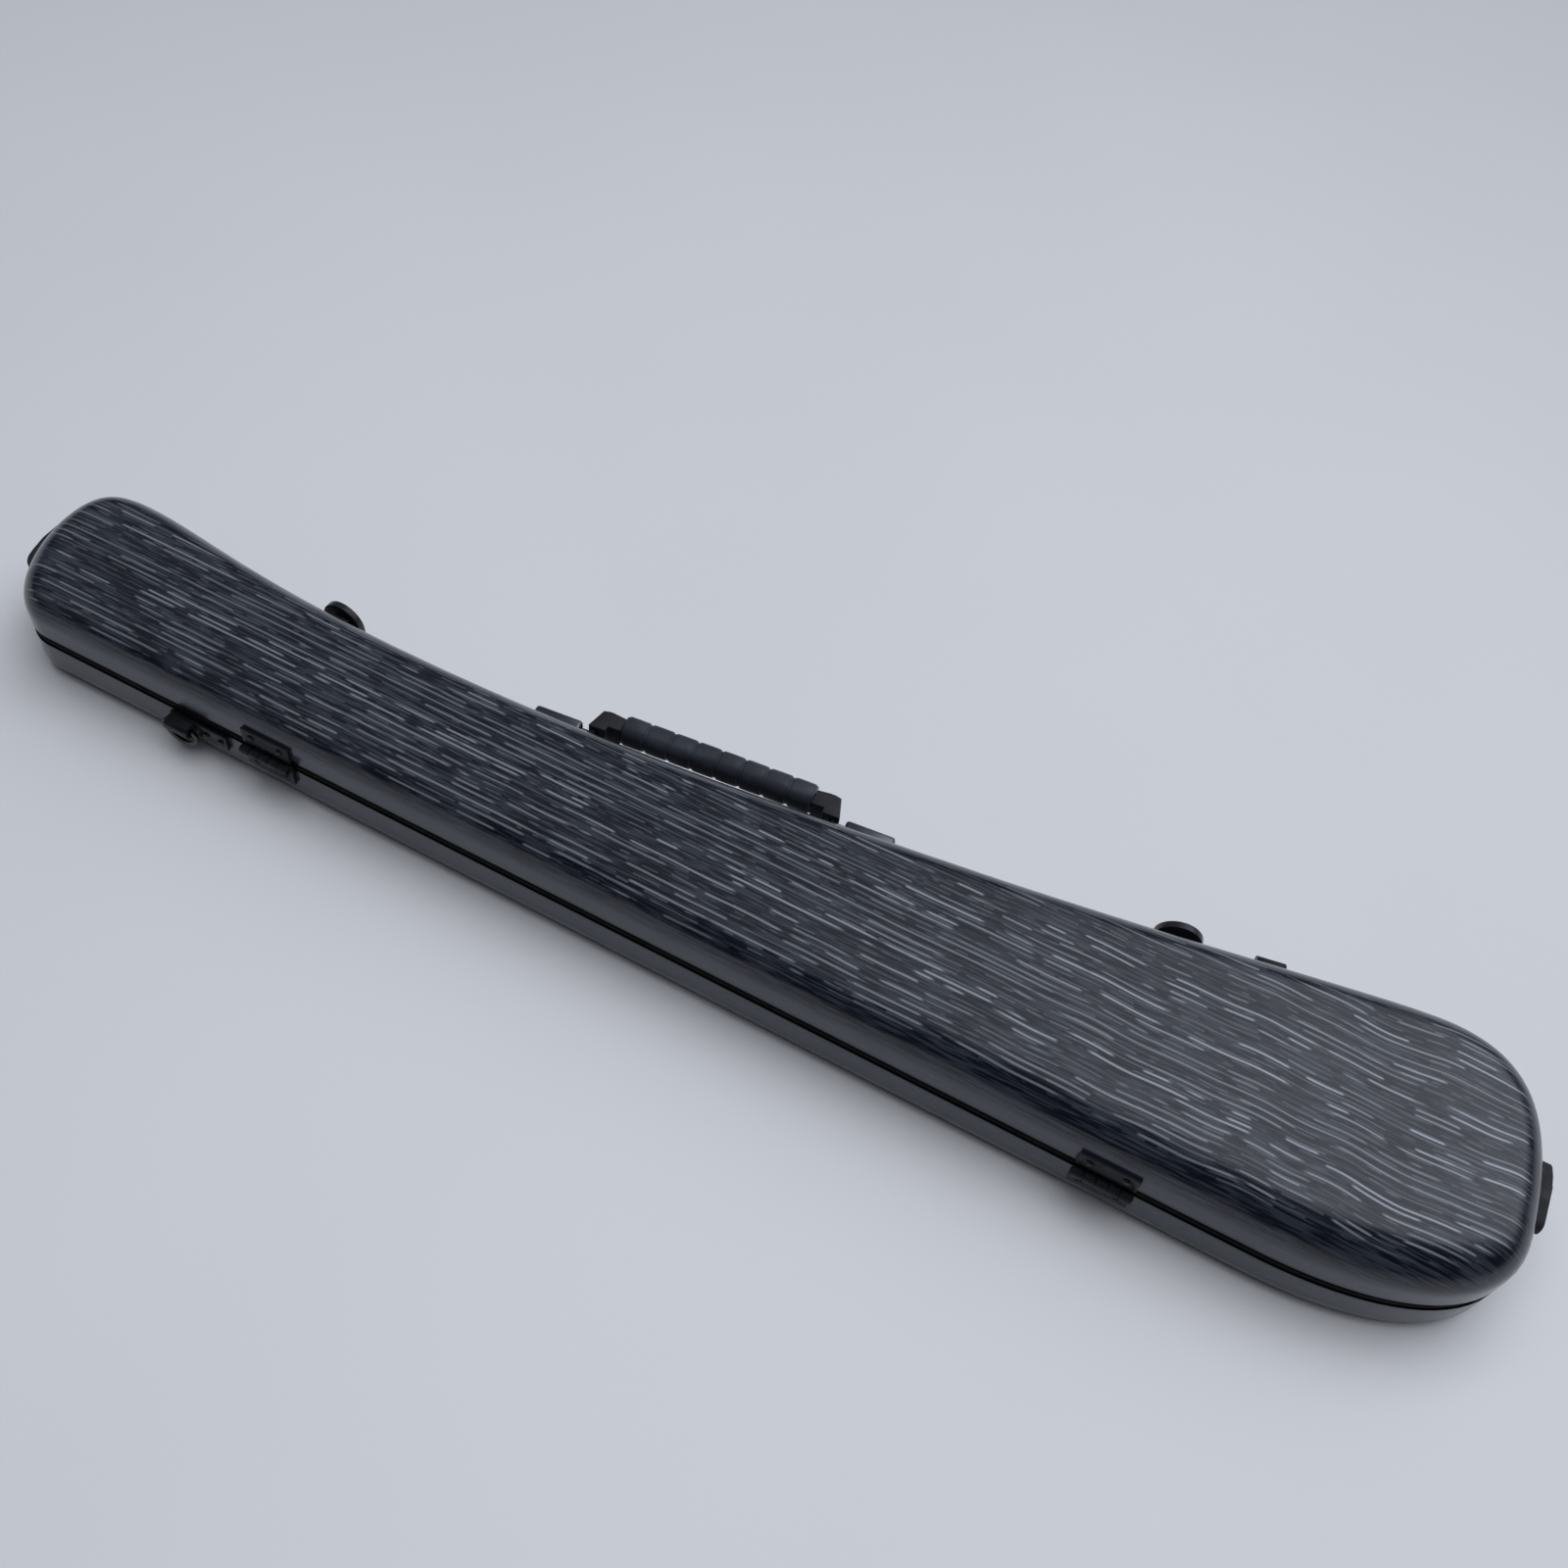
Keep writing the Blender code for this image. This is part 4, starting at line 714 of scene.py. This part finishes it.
def strip_piece(name, body, profile, rounding):
    """An edge strip: its section of (inset, height) points swept round the outline."""
    section_data = bpy.data.curves.new(name + "_section", "CURVE")
    spline = section_data.splines.new("POLY")
    spline.points.add(len(profile) - 1)
    for point, (inset, height) in zip(spline.points, profile):
        point.co = (inset, height, 0, 1)
    spline.use_cyclic_u = True
    section = bpy.data.objects.new(name + "_section", section_data)
    bpy.context.scene.collection.objects.link(section)
    piece = outline_loop(name, body)
    piece.data.bevel_mode = "OBJECT"
    piece.data.bevel_object = section
    only(piece)
    bpy.ops.object.convert(target="MESH")
    bpy.data.objects.remove(section, do_unlink=True)
    edit(piece)
    bpy.ops.mesh.select_all(action="SELECT")
    bpy.ops.mesh.remove_doubles(threshold=WELD)
    bpy.ops.mesh.normals_make_consistent(inside=False)
    close()
    bevel = piece.modifiers.new("rounding", "BEVEL")
    bevel.width = rounding
    bevel.segments = 3
    bevel.limit_method = "ANGLE"
    apply_all(piece)
    smooth(piece)
    return piece


class BOWCASE_OT_shells(bpy.types.Operator):
    """Cover both shells in streaked film, with the plush lining inside"""
    bl_idname = "bowcase.shells"
    bl_label = "Shells"

    def execute(self, context):
        body = context.scene.bowcase_body
        film = film_material(context.scene.bowcase_film)
        lining = plush_material("lining", context.scene.bowcase_finish.plush)
        covers = (film, lining)
        upper = shell_piece("lid_shell", body, UPPER_LOW.z, UPPER_HIGH.z,
                            body.top_radius, body.crown, covers)
        lower = shell_piece("base_shell", body, LOWER_HIGH.z, LOWER_LOW.z,
                            body.base_radius, 0, covers)
        for piece, node, rider in ((upper, "upper_shell", "lid"), (lower, "lower_shell", "base")):
            smooth(piece)
            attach(piece, rider)
            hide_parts(node)
        return {"FINISHED"}


# The strips' clearance to the shells, the thickness of their inner lips, and how dull they are
STRIP_GAP = 0.0003
LIP_THICKNESS = 0.0023
RUBBER_SPECULAR = 0.12


class BOWCASE_OT_strips(bpy.types.Operator):
    """Make the two black edge strips and finish the seal between them"""
    bl_idname = "bowcase.strips"
    bl_label = "Edge Strips"

    def execute(self, context):
        body = context.scene.bowcase_body
        finish = context.scene.bowcase_finish
        black = moulded_material("strip_black", finish.strip, roughness=0.60, grain=1100.0)
        seal = moulded_material("seal_rubber", shade(finish.strip, 0.8),
                                roughness=0.75, grain=1800.0)
        for rubber in (black, seal):
            shader = rubber.node_tree.nodes["Principled BSDF"]
            shader.inputs["Specular IOR Level"].default_value = RUBBER_SPECULAR
        outer, lip = body.strip_recess, body.wall + STRIP_GAP
        inner = lip + LIP_THICKNESS
        for name, node, rider, low, high in (
                ("lid_edge", "upper_edge_strip", "lid", UPPER_STRIP_LOW.z, UPPER_LOW.z),
                ("base_edge", "lower_edge_strip", "base", LOWER_STRIP_HIGH.z, LOWER_HIGH.z)):
            gap = math.copysign(STRIP_GAP, low - high)
            reach = UPPER_STRIP_HIGH.z if node.startswith("upper") else LOWER_STRIP_LOW.z
            piece = strip_piece(name, body, (
                (outer, low), (outer, high + gap), (lip, high + gap), (lip, reach), (inner, reach),
                (inner, low)), body.strip_round)
            dress(piece, black)
            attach(piece, rider)
            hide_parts(node)
        finish_nodes(seal, "seam_seal")
        return {"FINISHED"}


# Fittings

SIDES = ("left", "right")


class BOWCASE_OT_hinges(bpy.types.Operator):
    """Round and finish the two hinges and their rivets"""
    bl_idname = "bowcase.hinges"
    bl_label = "Hinges"

    def execute(self, context):
        finish = context.scene.bowcase_finish
        steel = painted_steel_material("hinge_steel", finish.steel, roughness=0.50)
        rivets = painted_steel_material("hinge_rivets", shade(finish.steel, 1.2), roughness=0.42)
        for side in SIDES:
            refine(f"hinge_{side}_body_leaf", "base", steel, width=0.00025)
            refine(f"hinge_{side}_lid_leaf", "lid", steel, width=0.00025)
            finish_nodes(steel, f"hinge_{side}_pin")
            finish_nodes(rivets, f"hinge_{side}_body_leaf_rivets", f"hinge_{side}_lid_leaf_rivets")
        return {"FINISHED"}


class BOWCASE_OT_latches(bpy.types.Operator):
    """Round and finish the toggle latches"""
    bl_idname = "bowcase.latches"
    bl_label = "Latches"

    def execute(self, context):
        finish = context.scene.bowcase_finish
        black = moulded_material("lever_black", finish.plastic, roughness=0.30, grain=1400.0)
        steel = painted_steel_material("latch_steel", finish.steel, roughness=0.38)
        for side in SIDES:
            refine(f"latch_{side}_lever", f"latch_{side}_lever", black, width=0.0007, segments=3)
            refine(f"latch_{side}_base", "base", steel, width=0.0002)
            refine(f"latch_{side}_claw", f"latch_{side}_claw", steel, width=0.0002)
            refine(f"latch_{side}_strike", "lid", steel, width=0.00025)
            finish_nodes(steel, f"latch_{side}_pivot_pin", f"latch_{side}_claw_pin",
                         f"latch_{side}_base_rivets", f"latch_{side}_strike_rivets")
        return {"FINISHED"}


class BOWCASE_OT_rings(bpy.types.Operator):
    """Round and finish the strap rings and their anchors"""
    bl_idname = "bowcase.rings"
    bl_label = "Strap Rings"

    def execute(self, context):
        finish = context.scene.bowcase_finish
        bronze = plated_material("ring_bronze", finish.bronze, roughness=0.34,
                                 brush=(300.0, 300.0, 300.0))
        steel = painted_steel_material("anchor_steel", finish.steel, roughness=0.38)
        for side, rider in (("near", "base"), ("far", "lid")):
            refine(f"ring_anchor_{side}", rider, steel, width=0.0003)
            finish_nodes(steel, f"ring_anchor_{side}_rivets")
            finish_nodes(bronze, f"strap_ring_{side}")
        return {"FINISHED"}


class BOWCASE_OT_bumpers(bpy.types.Operator):
    """Round and finish the rubber end bumpers"""
    bl_idname = "bowcase.bumpers"
    bl_label = "End Bumpers"

    def execute(self, context):
        finish = context.scene.bowcase_finish
        rubber = moulded_material("bumper_rubber", finish.bumper, roughness=0.66,
                                  grain=1300.0, depth=0.00005)
        steel = painted_steel_material("bumper_rivets", finish.steel, roughness=0.36)
        for end in ("tip", "frog"):
            refine(f"end_bumper_{end}", "lid", rubber, width=0.0006, segments=3)
            finish_nodes(steel, f"end_bumper_{end}_rivets")
        return {"FINISHED"}


# Handle

# One rib of the grip, from groove to groove: place along the rib and size, both as shares
RIB_SHARES = ((0.00, 0.905), (0.05, 0.915), (0.08, 0.975), (0.15, 0.995), (0.50, 1.000),
              (0.85, 0.995), (0.92, 0.975), (0.95, 0.915), (1.00, 0.905))


def grip_piece(name, grip):
    """A rounded bar along X, drawn out rib by rib."""
    bpy.ops.mesh.primitive_plane_add(size=1, location=(0, 0, 0), rotation=(0, math.pi / 2, 0))
    piece = bpy.context.active_object
    piece.name = name
    settle(piece)
    edit(piece)
    bpy.ops.mesh.select_all(action="SELECT")
    place, size = -grip.half_length, RIB_SHARES[0][1]
    bpy.ops.transform.resize(value=(1, 2 * grip.half_depth, 2 * grip.half_height))
    bpy.ops.mesh.bevel(offset=grip.corner, segments=6, affect="VERTICES")
    bpy.ops.transform.resize(value=(1, size, size), center_override=(0, 0, 0))
    bpy.ops.transform.translate(value=(place, 0, 0))
    pitch = 2 * grip.half_length / grip.ribs
    for rib in range(grip.ribs):
        for (before, _), (after, width) in zip(RIB_SHARES, RIB_SHARES[1:]):
            step = pitch * (after - before)
            bpy.ops.mesh.extrude_region_move(TRANSFORM_OT_translate={"value": (step, 0, 0)})
            place += step
            change = width / size
            bpy.ops.transform.resize(value=(1, change, change), center_override=(place, 0, 0))
            size = width
    bpy.ops.mesh.select_all(action="SELECT")
    bpy.ops.mesh.normals_make_consistent(inside=False)
    close()
    smooth(piece, math.radians(35))
    return piece


class BOWCASE_OT_handle(bpy.types.Operator):
    """Make the ribbed grip and finish its ends, strap and plated caps"""
    bl_idname = "bowcase.handle"
    bl_label = "Handle"

    def execute(self, context):
        finish = context.scene.bowcase_finish
        rubber = moulded_material("grip_rubber", finish.grip, roughness=0.42,
                                  grain=1600.0, depth=0.00005)
        plastic = moulded_material("handle_plastic", finish.plastic, roughness=0.40, grain=1300.0)
        steel = painted_steel_material("strap_steel", finish.steel, roughness=0.42)
        plating = plated_material("cap_plating", finish.plating, roughness=0.26)
        grip = grip_piece("ribbed_grip", context.scene.bowcase_grip)
        low, high = (sum(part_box(f"handle_end_{side}"), Vector()) / 2 for side in SIDES)
        way = high - low
        turn = Matrix.Rotation(math.atan2(way.y, way.x), 4, "Z")
        grip_low, grip_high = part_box("handle_grip")
        grip.data.transform(Matrix.Translation((grip_low + grip_high) / 2) @ turn)
        dress(grip, rubber)
        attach(grip, "handle")
        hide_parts("handle_grip")
        for side in SIDES:
            refine(f"handle_end_{side}", "handle", plastic, width=0.0004, segments=2)
            refine(f"handle_cap_{side}", "lid", plating, width=0.0003, segments=2, angle=50)
            finish_nodes(plating, f"handle_cap_{side}_rivets")
        finish_nodes(steel, "handle_strap")
        return {"FINISHED"}


# Bed and clips

# Pads of the bed, and how finely the cover of each is modelled
BED_VOXELS = {"bed_floor_pad": 0.0035, "bed_near_rail": 0.0016, "bed_far_rail": 0.0030,
              "bed_divider": 0.0018, "bed_tip_block": 0.0020, "bed_frog_block": 0.0020}
LID_PAD_VOXEL = 0.0035
PAD_ROUNDING = 0.0012
# Pads too slim to be blown up, which are only rounded
SLIM_PADS = ("bed_near_rail", "bed_divider")

# How far a pad is taken in before it is blown up, and the cloth's run
PUFF_DEPTH = 0.0008
PUFF_PRESSURE = 4.0
SIM_FRAMES = 12

# The face's fall to its edge, and the sewn line inside it
SEAM_STEP = 0.0012
SEAM_LEVEL = 0.0008
SEAM_ANGLE = math.radians(30)
SAG_DEPTH, SAG_REACH = 0.0010, 0.011
STITCH_DEPTH, STITCH_INSET, STITCH_WIDTH = 0.0009, 0.0065, 0.0013
# How upright a vertex's normal is on the face
FACE_UPRIGHT = 0.6


def seam_points(piece, top):
    """Points along the sharp edges round a pad's face at height top."""
    shape = bmesh.new()
    shape.from_mesh(piece.data)
    spots = []
    for edge in shape.edges:
        first, last = (vertex.co for vertex in edge.verts)
        level = max(abs(first.z - top), abs(last.z - top)) < SEAM_LEVEL
        if level and edge.calc_face_angle(0) > SEAM_ANGLE:
            count = max(1, round((last - first).length / SEAM_STEP))
            spots += [first.lerp(last, share / count) for share in range(count + 1)]
    shape.free()
    tree = KDTree(len(spots))
    for index, spot in enumerate(spots):
        tree.insert(spot, index)
    tree.balance()
    return tree


def puff(piece):
    """Take a pad in a little, then blow it up as cloth, back to its space at most."""
    for vertex, way in [(vertex, vertex.normal.copy()) for vertex in piece.data.vertices]:
        vertex.co -= way * PUFF_DEPTH
    before = [vertex.co.copy() for vertex in piece.data.vertices]
    cloth = piece.modifiers.new("cover", "CLOTH")
    cloth.settings.use_pressure = True
    cloth.settings.uniform_pressure_force = PUFF_PRESSURE
    cloth.settings.effector_weights.gravity = 0.0
    cloth.settings.quality = 3
    cloth.point_cache.frame_start = 1
    cloth.point_cache.frame_end = SIM_FRAMES
    for moment in range(1, SIM_FRAMES + 1):
        bpy.context.scene.frame_set(moment)
    apply_all(piece)
    bpy.context.scene.frame_set(1)
    for vertex, place in zip(piece.data.vertices, before):
        move = vertex.co - place
        if move.length > PUFF_DEPTH:
            vertex.co = place + move * (PUFF_DEPTH / move.length)


def stitch_face(piece, seam, top, way):
    """Let a pad's face fall to its edge, with a sewn line a little inside."""
    face = [vertex for vertex in piece.data.vertices if vertex.normal.z * way > FACE_UPRIGHT]
    for vertex in face:
        away = seam.find((vertex.co.x, vertex.co.y, top))[2]
        sag = SAG_DEPTH * (1 - min(1.0, away / SAG_REACH)) ** 2
        stitch = STITCH_DEPTH * math.exp(-((away - STITCH_INSET) / STITCH_WIDTH) ** 2)
        vertex.co.z -= way * (sag + stitch)


def plush_piece(node, rider, material, voxel, way=1):
    """A plush-covered foam pad in a CAD solid's space, its face up, or down where way is -1."""
    piece = copy_node(node, node + "_plush")
    low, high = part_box(node)
    top = high.z if way > 0 else low.z
    seam = seam_points(piece, top)
    bevel = piece.modifiers.new("soft_edges", "BEVEL")
    bevel.width = PAD_ROUNDING
    bevel.segments = 2
    bevel.limit_method = "ANGLE"
    apply_all(piece)
    piece.data.remesh_voxel_size = voxel
    bpy.ops.object.voxel_remesh()
    if node not in SLIM_PADS:
        puff(piece)
    edit(piece)
    bpy.ops.mesh.select_all(action="SELECT")
    bpy.ops.mesh.vertices_smooth(factor=0.5, repeat=3)
    close()
    rounding = piece.modifiers.new("rounding", "SUBSURF")
    rounding.levels = 1
    rounding.render_levels = 1
    apply_all(piece)
    stitch_face(piece, seam, top, way)
    smooth(piece, math.radians(180))
    dress(piece, material)
    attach(piece, rider)
    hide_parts(node)


class BOWCASE_OT_bed(bpy.types.Operator):
    """Make the plush bed and the lid pad"""
    bl_idname = "bowcase.bed"
    bl_label = "Bed"

    def execute(self, context):
        plush = plush_material("plush", context.scene.bowcase_finish.plush)
        for node, voxel in BED_VOXELS.items():
            plush_piece(node, "base", plush, voxel)
        plush_piece("lid_pad", "lid", plush, LID_PAD_VOXEL, way=-1)
        return {"FINISHED"}


class BOWCASE_OT_clips(bpy.types.Operator):
    """Round and finish the turning bow clips and their screws"""
    bl_idname = "bowcase.clips"
    bl_label = "Bow Clips"

    def execute(self, context):
        finish = context.scene.bowcase_finish
        plastic = moulded_material("clip_plastic", shade(finish.plastic, 1.4), roughness=0.34,
                                   grain=1400.0)
        screws = plated_material("clip_screws", shade(finish.plating, 0.6), roughness=0.30)
        for end in ("tip", "frog"):
            refine(f"clip_{end}_bar", f"{end}_clip", plastic, width=0.0006, segments=3)
            finish_nodes(screws, f"clip_{end}_screw")
        return {"FINISHED"}


# Stage

FLOOR_SIZE = 9

# The room's colours by direction
ROOM_EDGE = (0.40, 0.42, 0.48)
ROOM_DIM = (0.024, 0.027, 0.036)
ROOM_PALE = (1.38, 1.45, 1.58)
ROOM_SEEN = (0.44, 0.46, 0.50)
# Parts of a direction, between which the room changes: the edge's top, the pale part's
# lower side, its front and its tip side
EDGE_TOP = (0.03, 0.14)
PALE_RISE = (0.25, 0.60)
PALE_FRONT = (-0.20, 0.02)
PALE_TIP_SIDE = (-0.32, 0.30)
PALE_LEFT_AT_TIP = 0.12
# The pale part's front slants back towards the frog end, as far as this
FRONT_SLANT, SLANT_END = 1.6, 0.26

LAMP_SIZE = (2.4, 2.0)
LAMP_COLOUR = (0.97, 0.98, 1.0)
LAMP_PLACE = Vector((0.25, 0.15, 2.1))
LAMP_AIM = Vector((0.1, 0.0, 0.0))

CAMERA_LENS = 36.09
CAMERA_PLACE = (0.17111, -0.37264, 0.66306)
CAMERA_TURN = (36.428, -5.234, 27.381)


class BOWCASE_OT_stage(bpy.types.Operator):
    """Lay the pale floor, light it softly and set the camera"""
    bl_idname = "bowcase.stage"
    bl_label = "Stage"

    def execute(self, context):
        look = context.scene.bowcase_stage
        bpy.ops.object.select_all(action="DESELECT")
        bpy.ops.mesh.primitive_grid_add(x_subdivisions=2, y_subdivisions=2, size=FLOOR_SIZE,
                                        location=(0, 0, 0))
        floor = context.active_object
        floor.name = "floor"
        settle(floor)
        dress(floor, floor_material(look.floor))
        self.light_room(context, look)
        self.add_softbox(look)
        self.add_camera(context)
        context.scene.view_settings.view_transform = "Standard"
        return {"FINISHED"}

    def light_room(self, context, look):
        """Light by direction: pale above and behind, less so over the tip end, pale again at
        the floor's edge, and dim between."""
        world = bpy.data.worlds.new("room")
        context.scene.world = world
        world.use_nodes = True
        tree = world.node_tree
        background = tree.nodes["Background"]
        way = tree.nodes.new("ShaderNodeTexCoord").outputs["Generated"]
        parts = tree.nodes.new("ShaderNodeSeparateXYZ")
        tree.links.new(way, parts.inputs[0])
        x, y, z = parts.outputs
        rise = ease(tree, z, *PALE_RISE)
        aside = calc(tree, "MINIMUM", x, SLANT_END)
        slant = less(tree, y, times(tree, aside, FRONT_SLANT))
        back = ease(tree, slant, *PALE_FRONT)
        lean = ease(tree, x, *PALE_TIP_SIDE, PALE_LEFT_AT_TIP, 1.0)
        pale = times(tree, times(tree, rise, back), lean)
        colour = blend(tree, ease(tree, z, *EDGE_TOP), ROOM_EDGE, ROOM_DIM)
        colour = blend(tree, pale, colour, ROOM_PALE)
        seen = tree.nodes.new("ShaderNodeLightPath").outputs["Is Camera Ray"]
        colour = blend(tree, seen, colour, ROOM_SEEN)
        tree.links.new(colour, background.inputs["Color"])
        background.inputs["Strength"].default_value = look.room

    def add_softbox(self, look):
        """A broad softbox overhead, a little towards the wide end."""
        data = bpy.data.lights.new("softbox", "AREA")
        data.shape = "RECTANGLE"
        data.size, data.size_y = LAMP_SIZE
        data.energy = look.lamp_power
        data.color = LAMP_COLOUR
        lamp = bpy.data.objects.new("softbox", data)
        lamp.visible_glossy = False
        lamp.location = LAMP_PLACE
        lamp.rotation_euler = (LAMP_AIM - lamp.location).to_track_quat("-Z", "Y").to_euler()
        bpy.context.scene.collection.objects.link(lamp)

    def add_camera(self, context):
        """The camera stands before the hinge side, above the frog half, and is turned a little."""
        data = bpy.data.cameras.new("camera")
        data.sensor_width = 36.0
        data.lens = CAMERA_LENS
        camera = bpy.data.objects.new("camera", data)
        camera.location = CAMERA_PLACE
        camera.rotation_euler = [math.radians(angle) for angle in CAMERA_TURN]
        context.scene.collection.objects.link(camera)
        context.scene.camera = camera


OPERATORS = (BOWCASE_OT_shells, BOWCASE_OT_strips, BOWCASE_OT_hinges, BOWCASE_OT_latches,
             BOWCASE_OT_rings, BOWCASE_OT_bumpers, BOWCASE_OT_handle, BOWCASE_OT_bed,
             BOWCASE_OT_clips, BOWCASE_OT_stage)


class BOWCASE_PT_builder(bpy.types.Panel):
    """Lists the steps that build the case"""
    bl_idname = "BOWCASE_PT_builder"
    bl_label = "Bow Case"
    bl_space_type = "VIEW_3D"
    bl_region_type = "UI"
    bl_category = "Bow Case"

    def draw(self, context):
        for operator in OPERATORS:
            self.layout.operator(operator.bl_idname)
        for group in GROUPS:
            values = getattr(context.scene, "bowcase_" + group)
            box = self.layout.box()
            for key in values.bl_rna.properties.keys():
                if key not in ("rna_type", "name"):
                    box.prop(values, key)


def register():
    for group, kind in GROUPS.items():
        bpy.utils.register_class(kind)
        setattr(bpy.types.Scene, "bowcase_" + group, PointerProperty(type=kind))
    for operator in OPERATORS:
        bpy.utils.register_class(operator)
    bpy.utils.register_class(BOWCASE_PT_builder)


def unregister():
    bpy.utils.unregister_class(BOWCASE_PT_builder)
    for operator in reversed(OPERATORS):
        bpy.utils.unregister_class(operator)
    for group, kind in GROUPS.items():
        delattr(bpy.types.Scene, "bowcase_" + group)
        bpy.utils.unregister_class(kind)


def main():
    register()
    bpy.ops.bowcase.shells()
    bpy.ops.bowcase.strips()
    bpy.ops.bowcase.hinges()
    bpy.ops.bowcase.latches()
    bpy.ops.bowcase.rings()
    bpy.ops.bowcase.bumpers()
    bpy.ops.bowcase.handle()
    bpy.ops.bowcase.bed()
    bpy.ops.bowcase.clips()
    bpy.ops.bowcase.stage()
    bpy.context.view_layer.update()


if __name__ == "__main__":
    main()
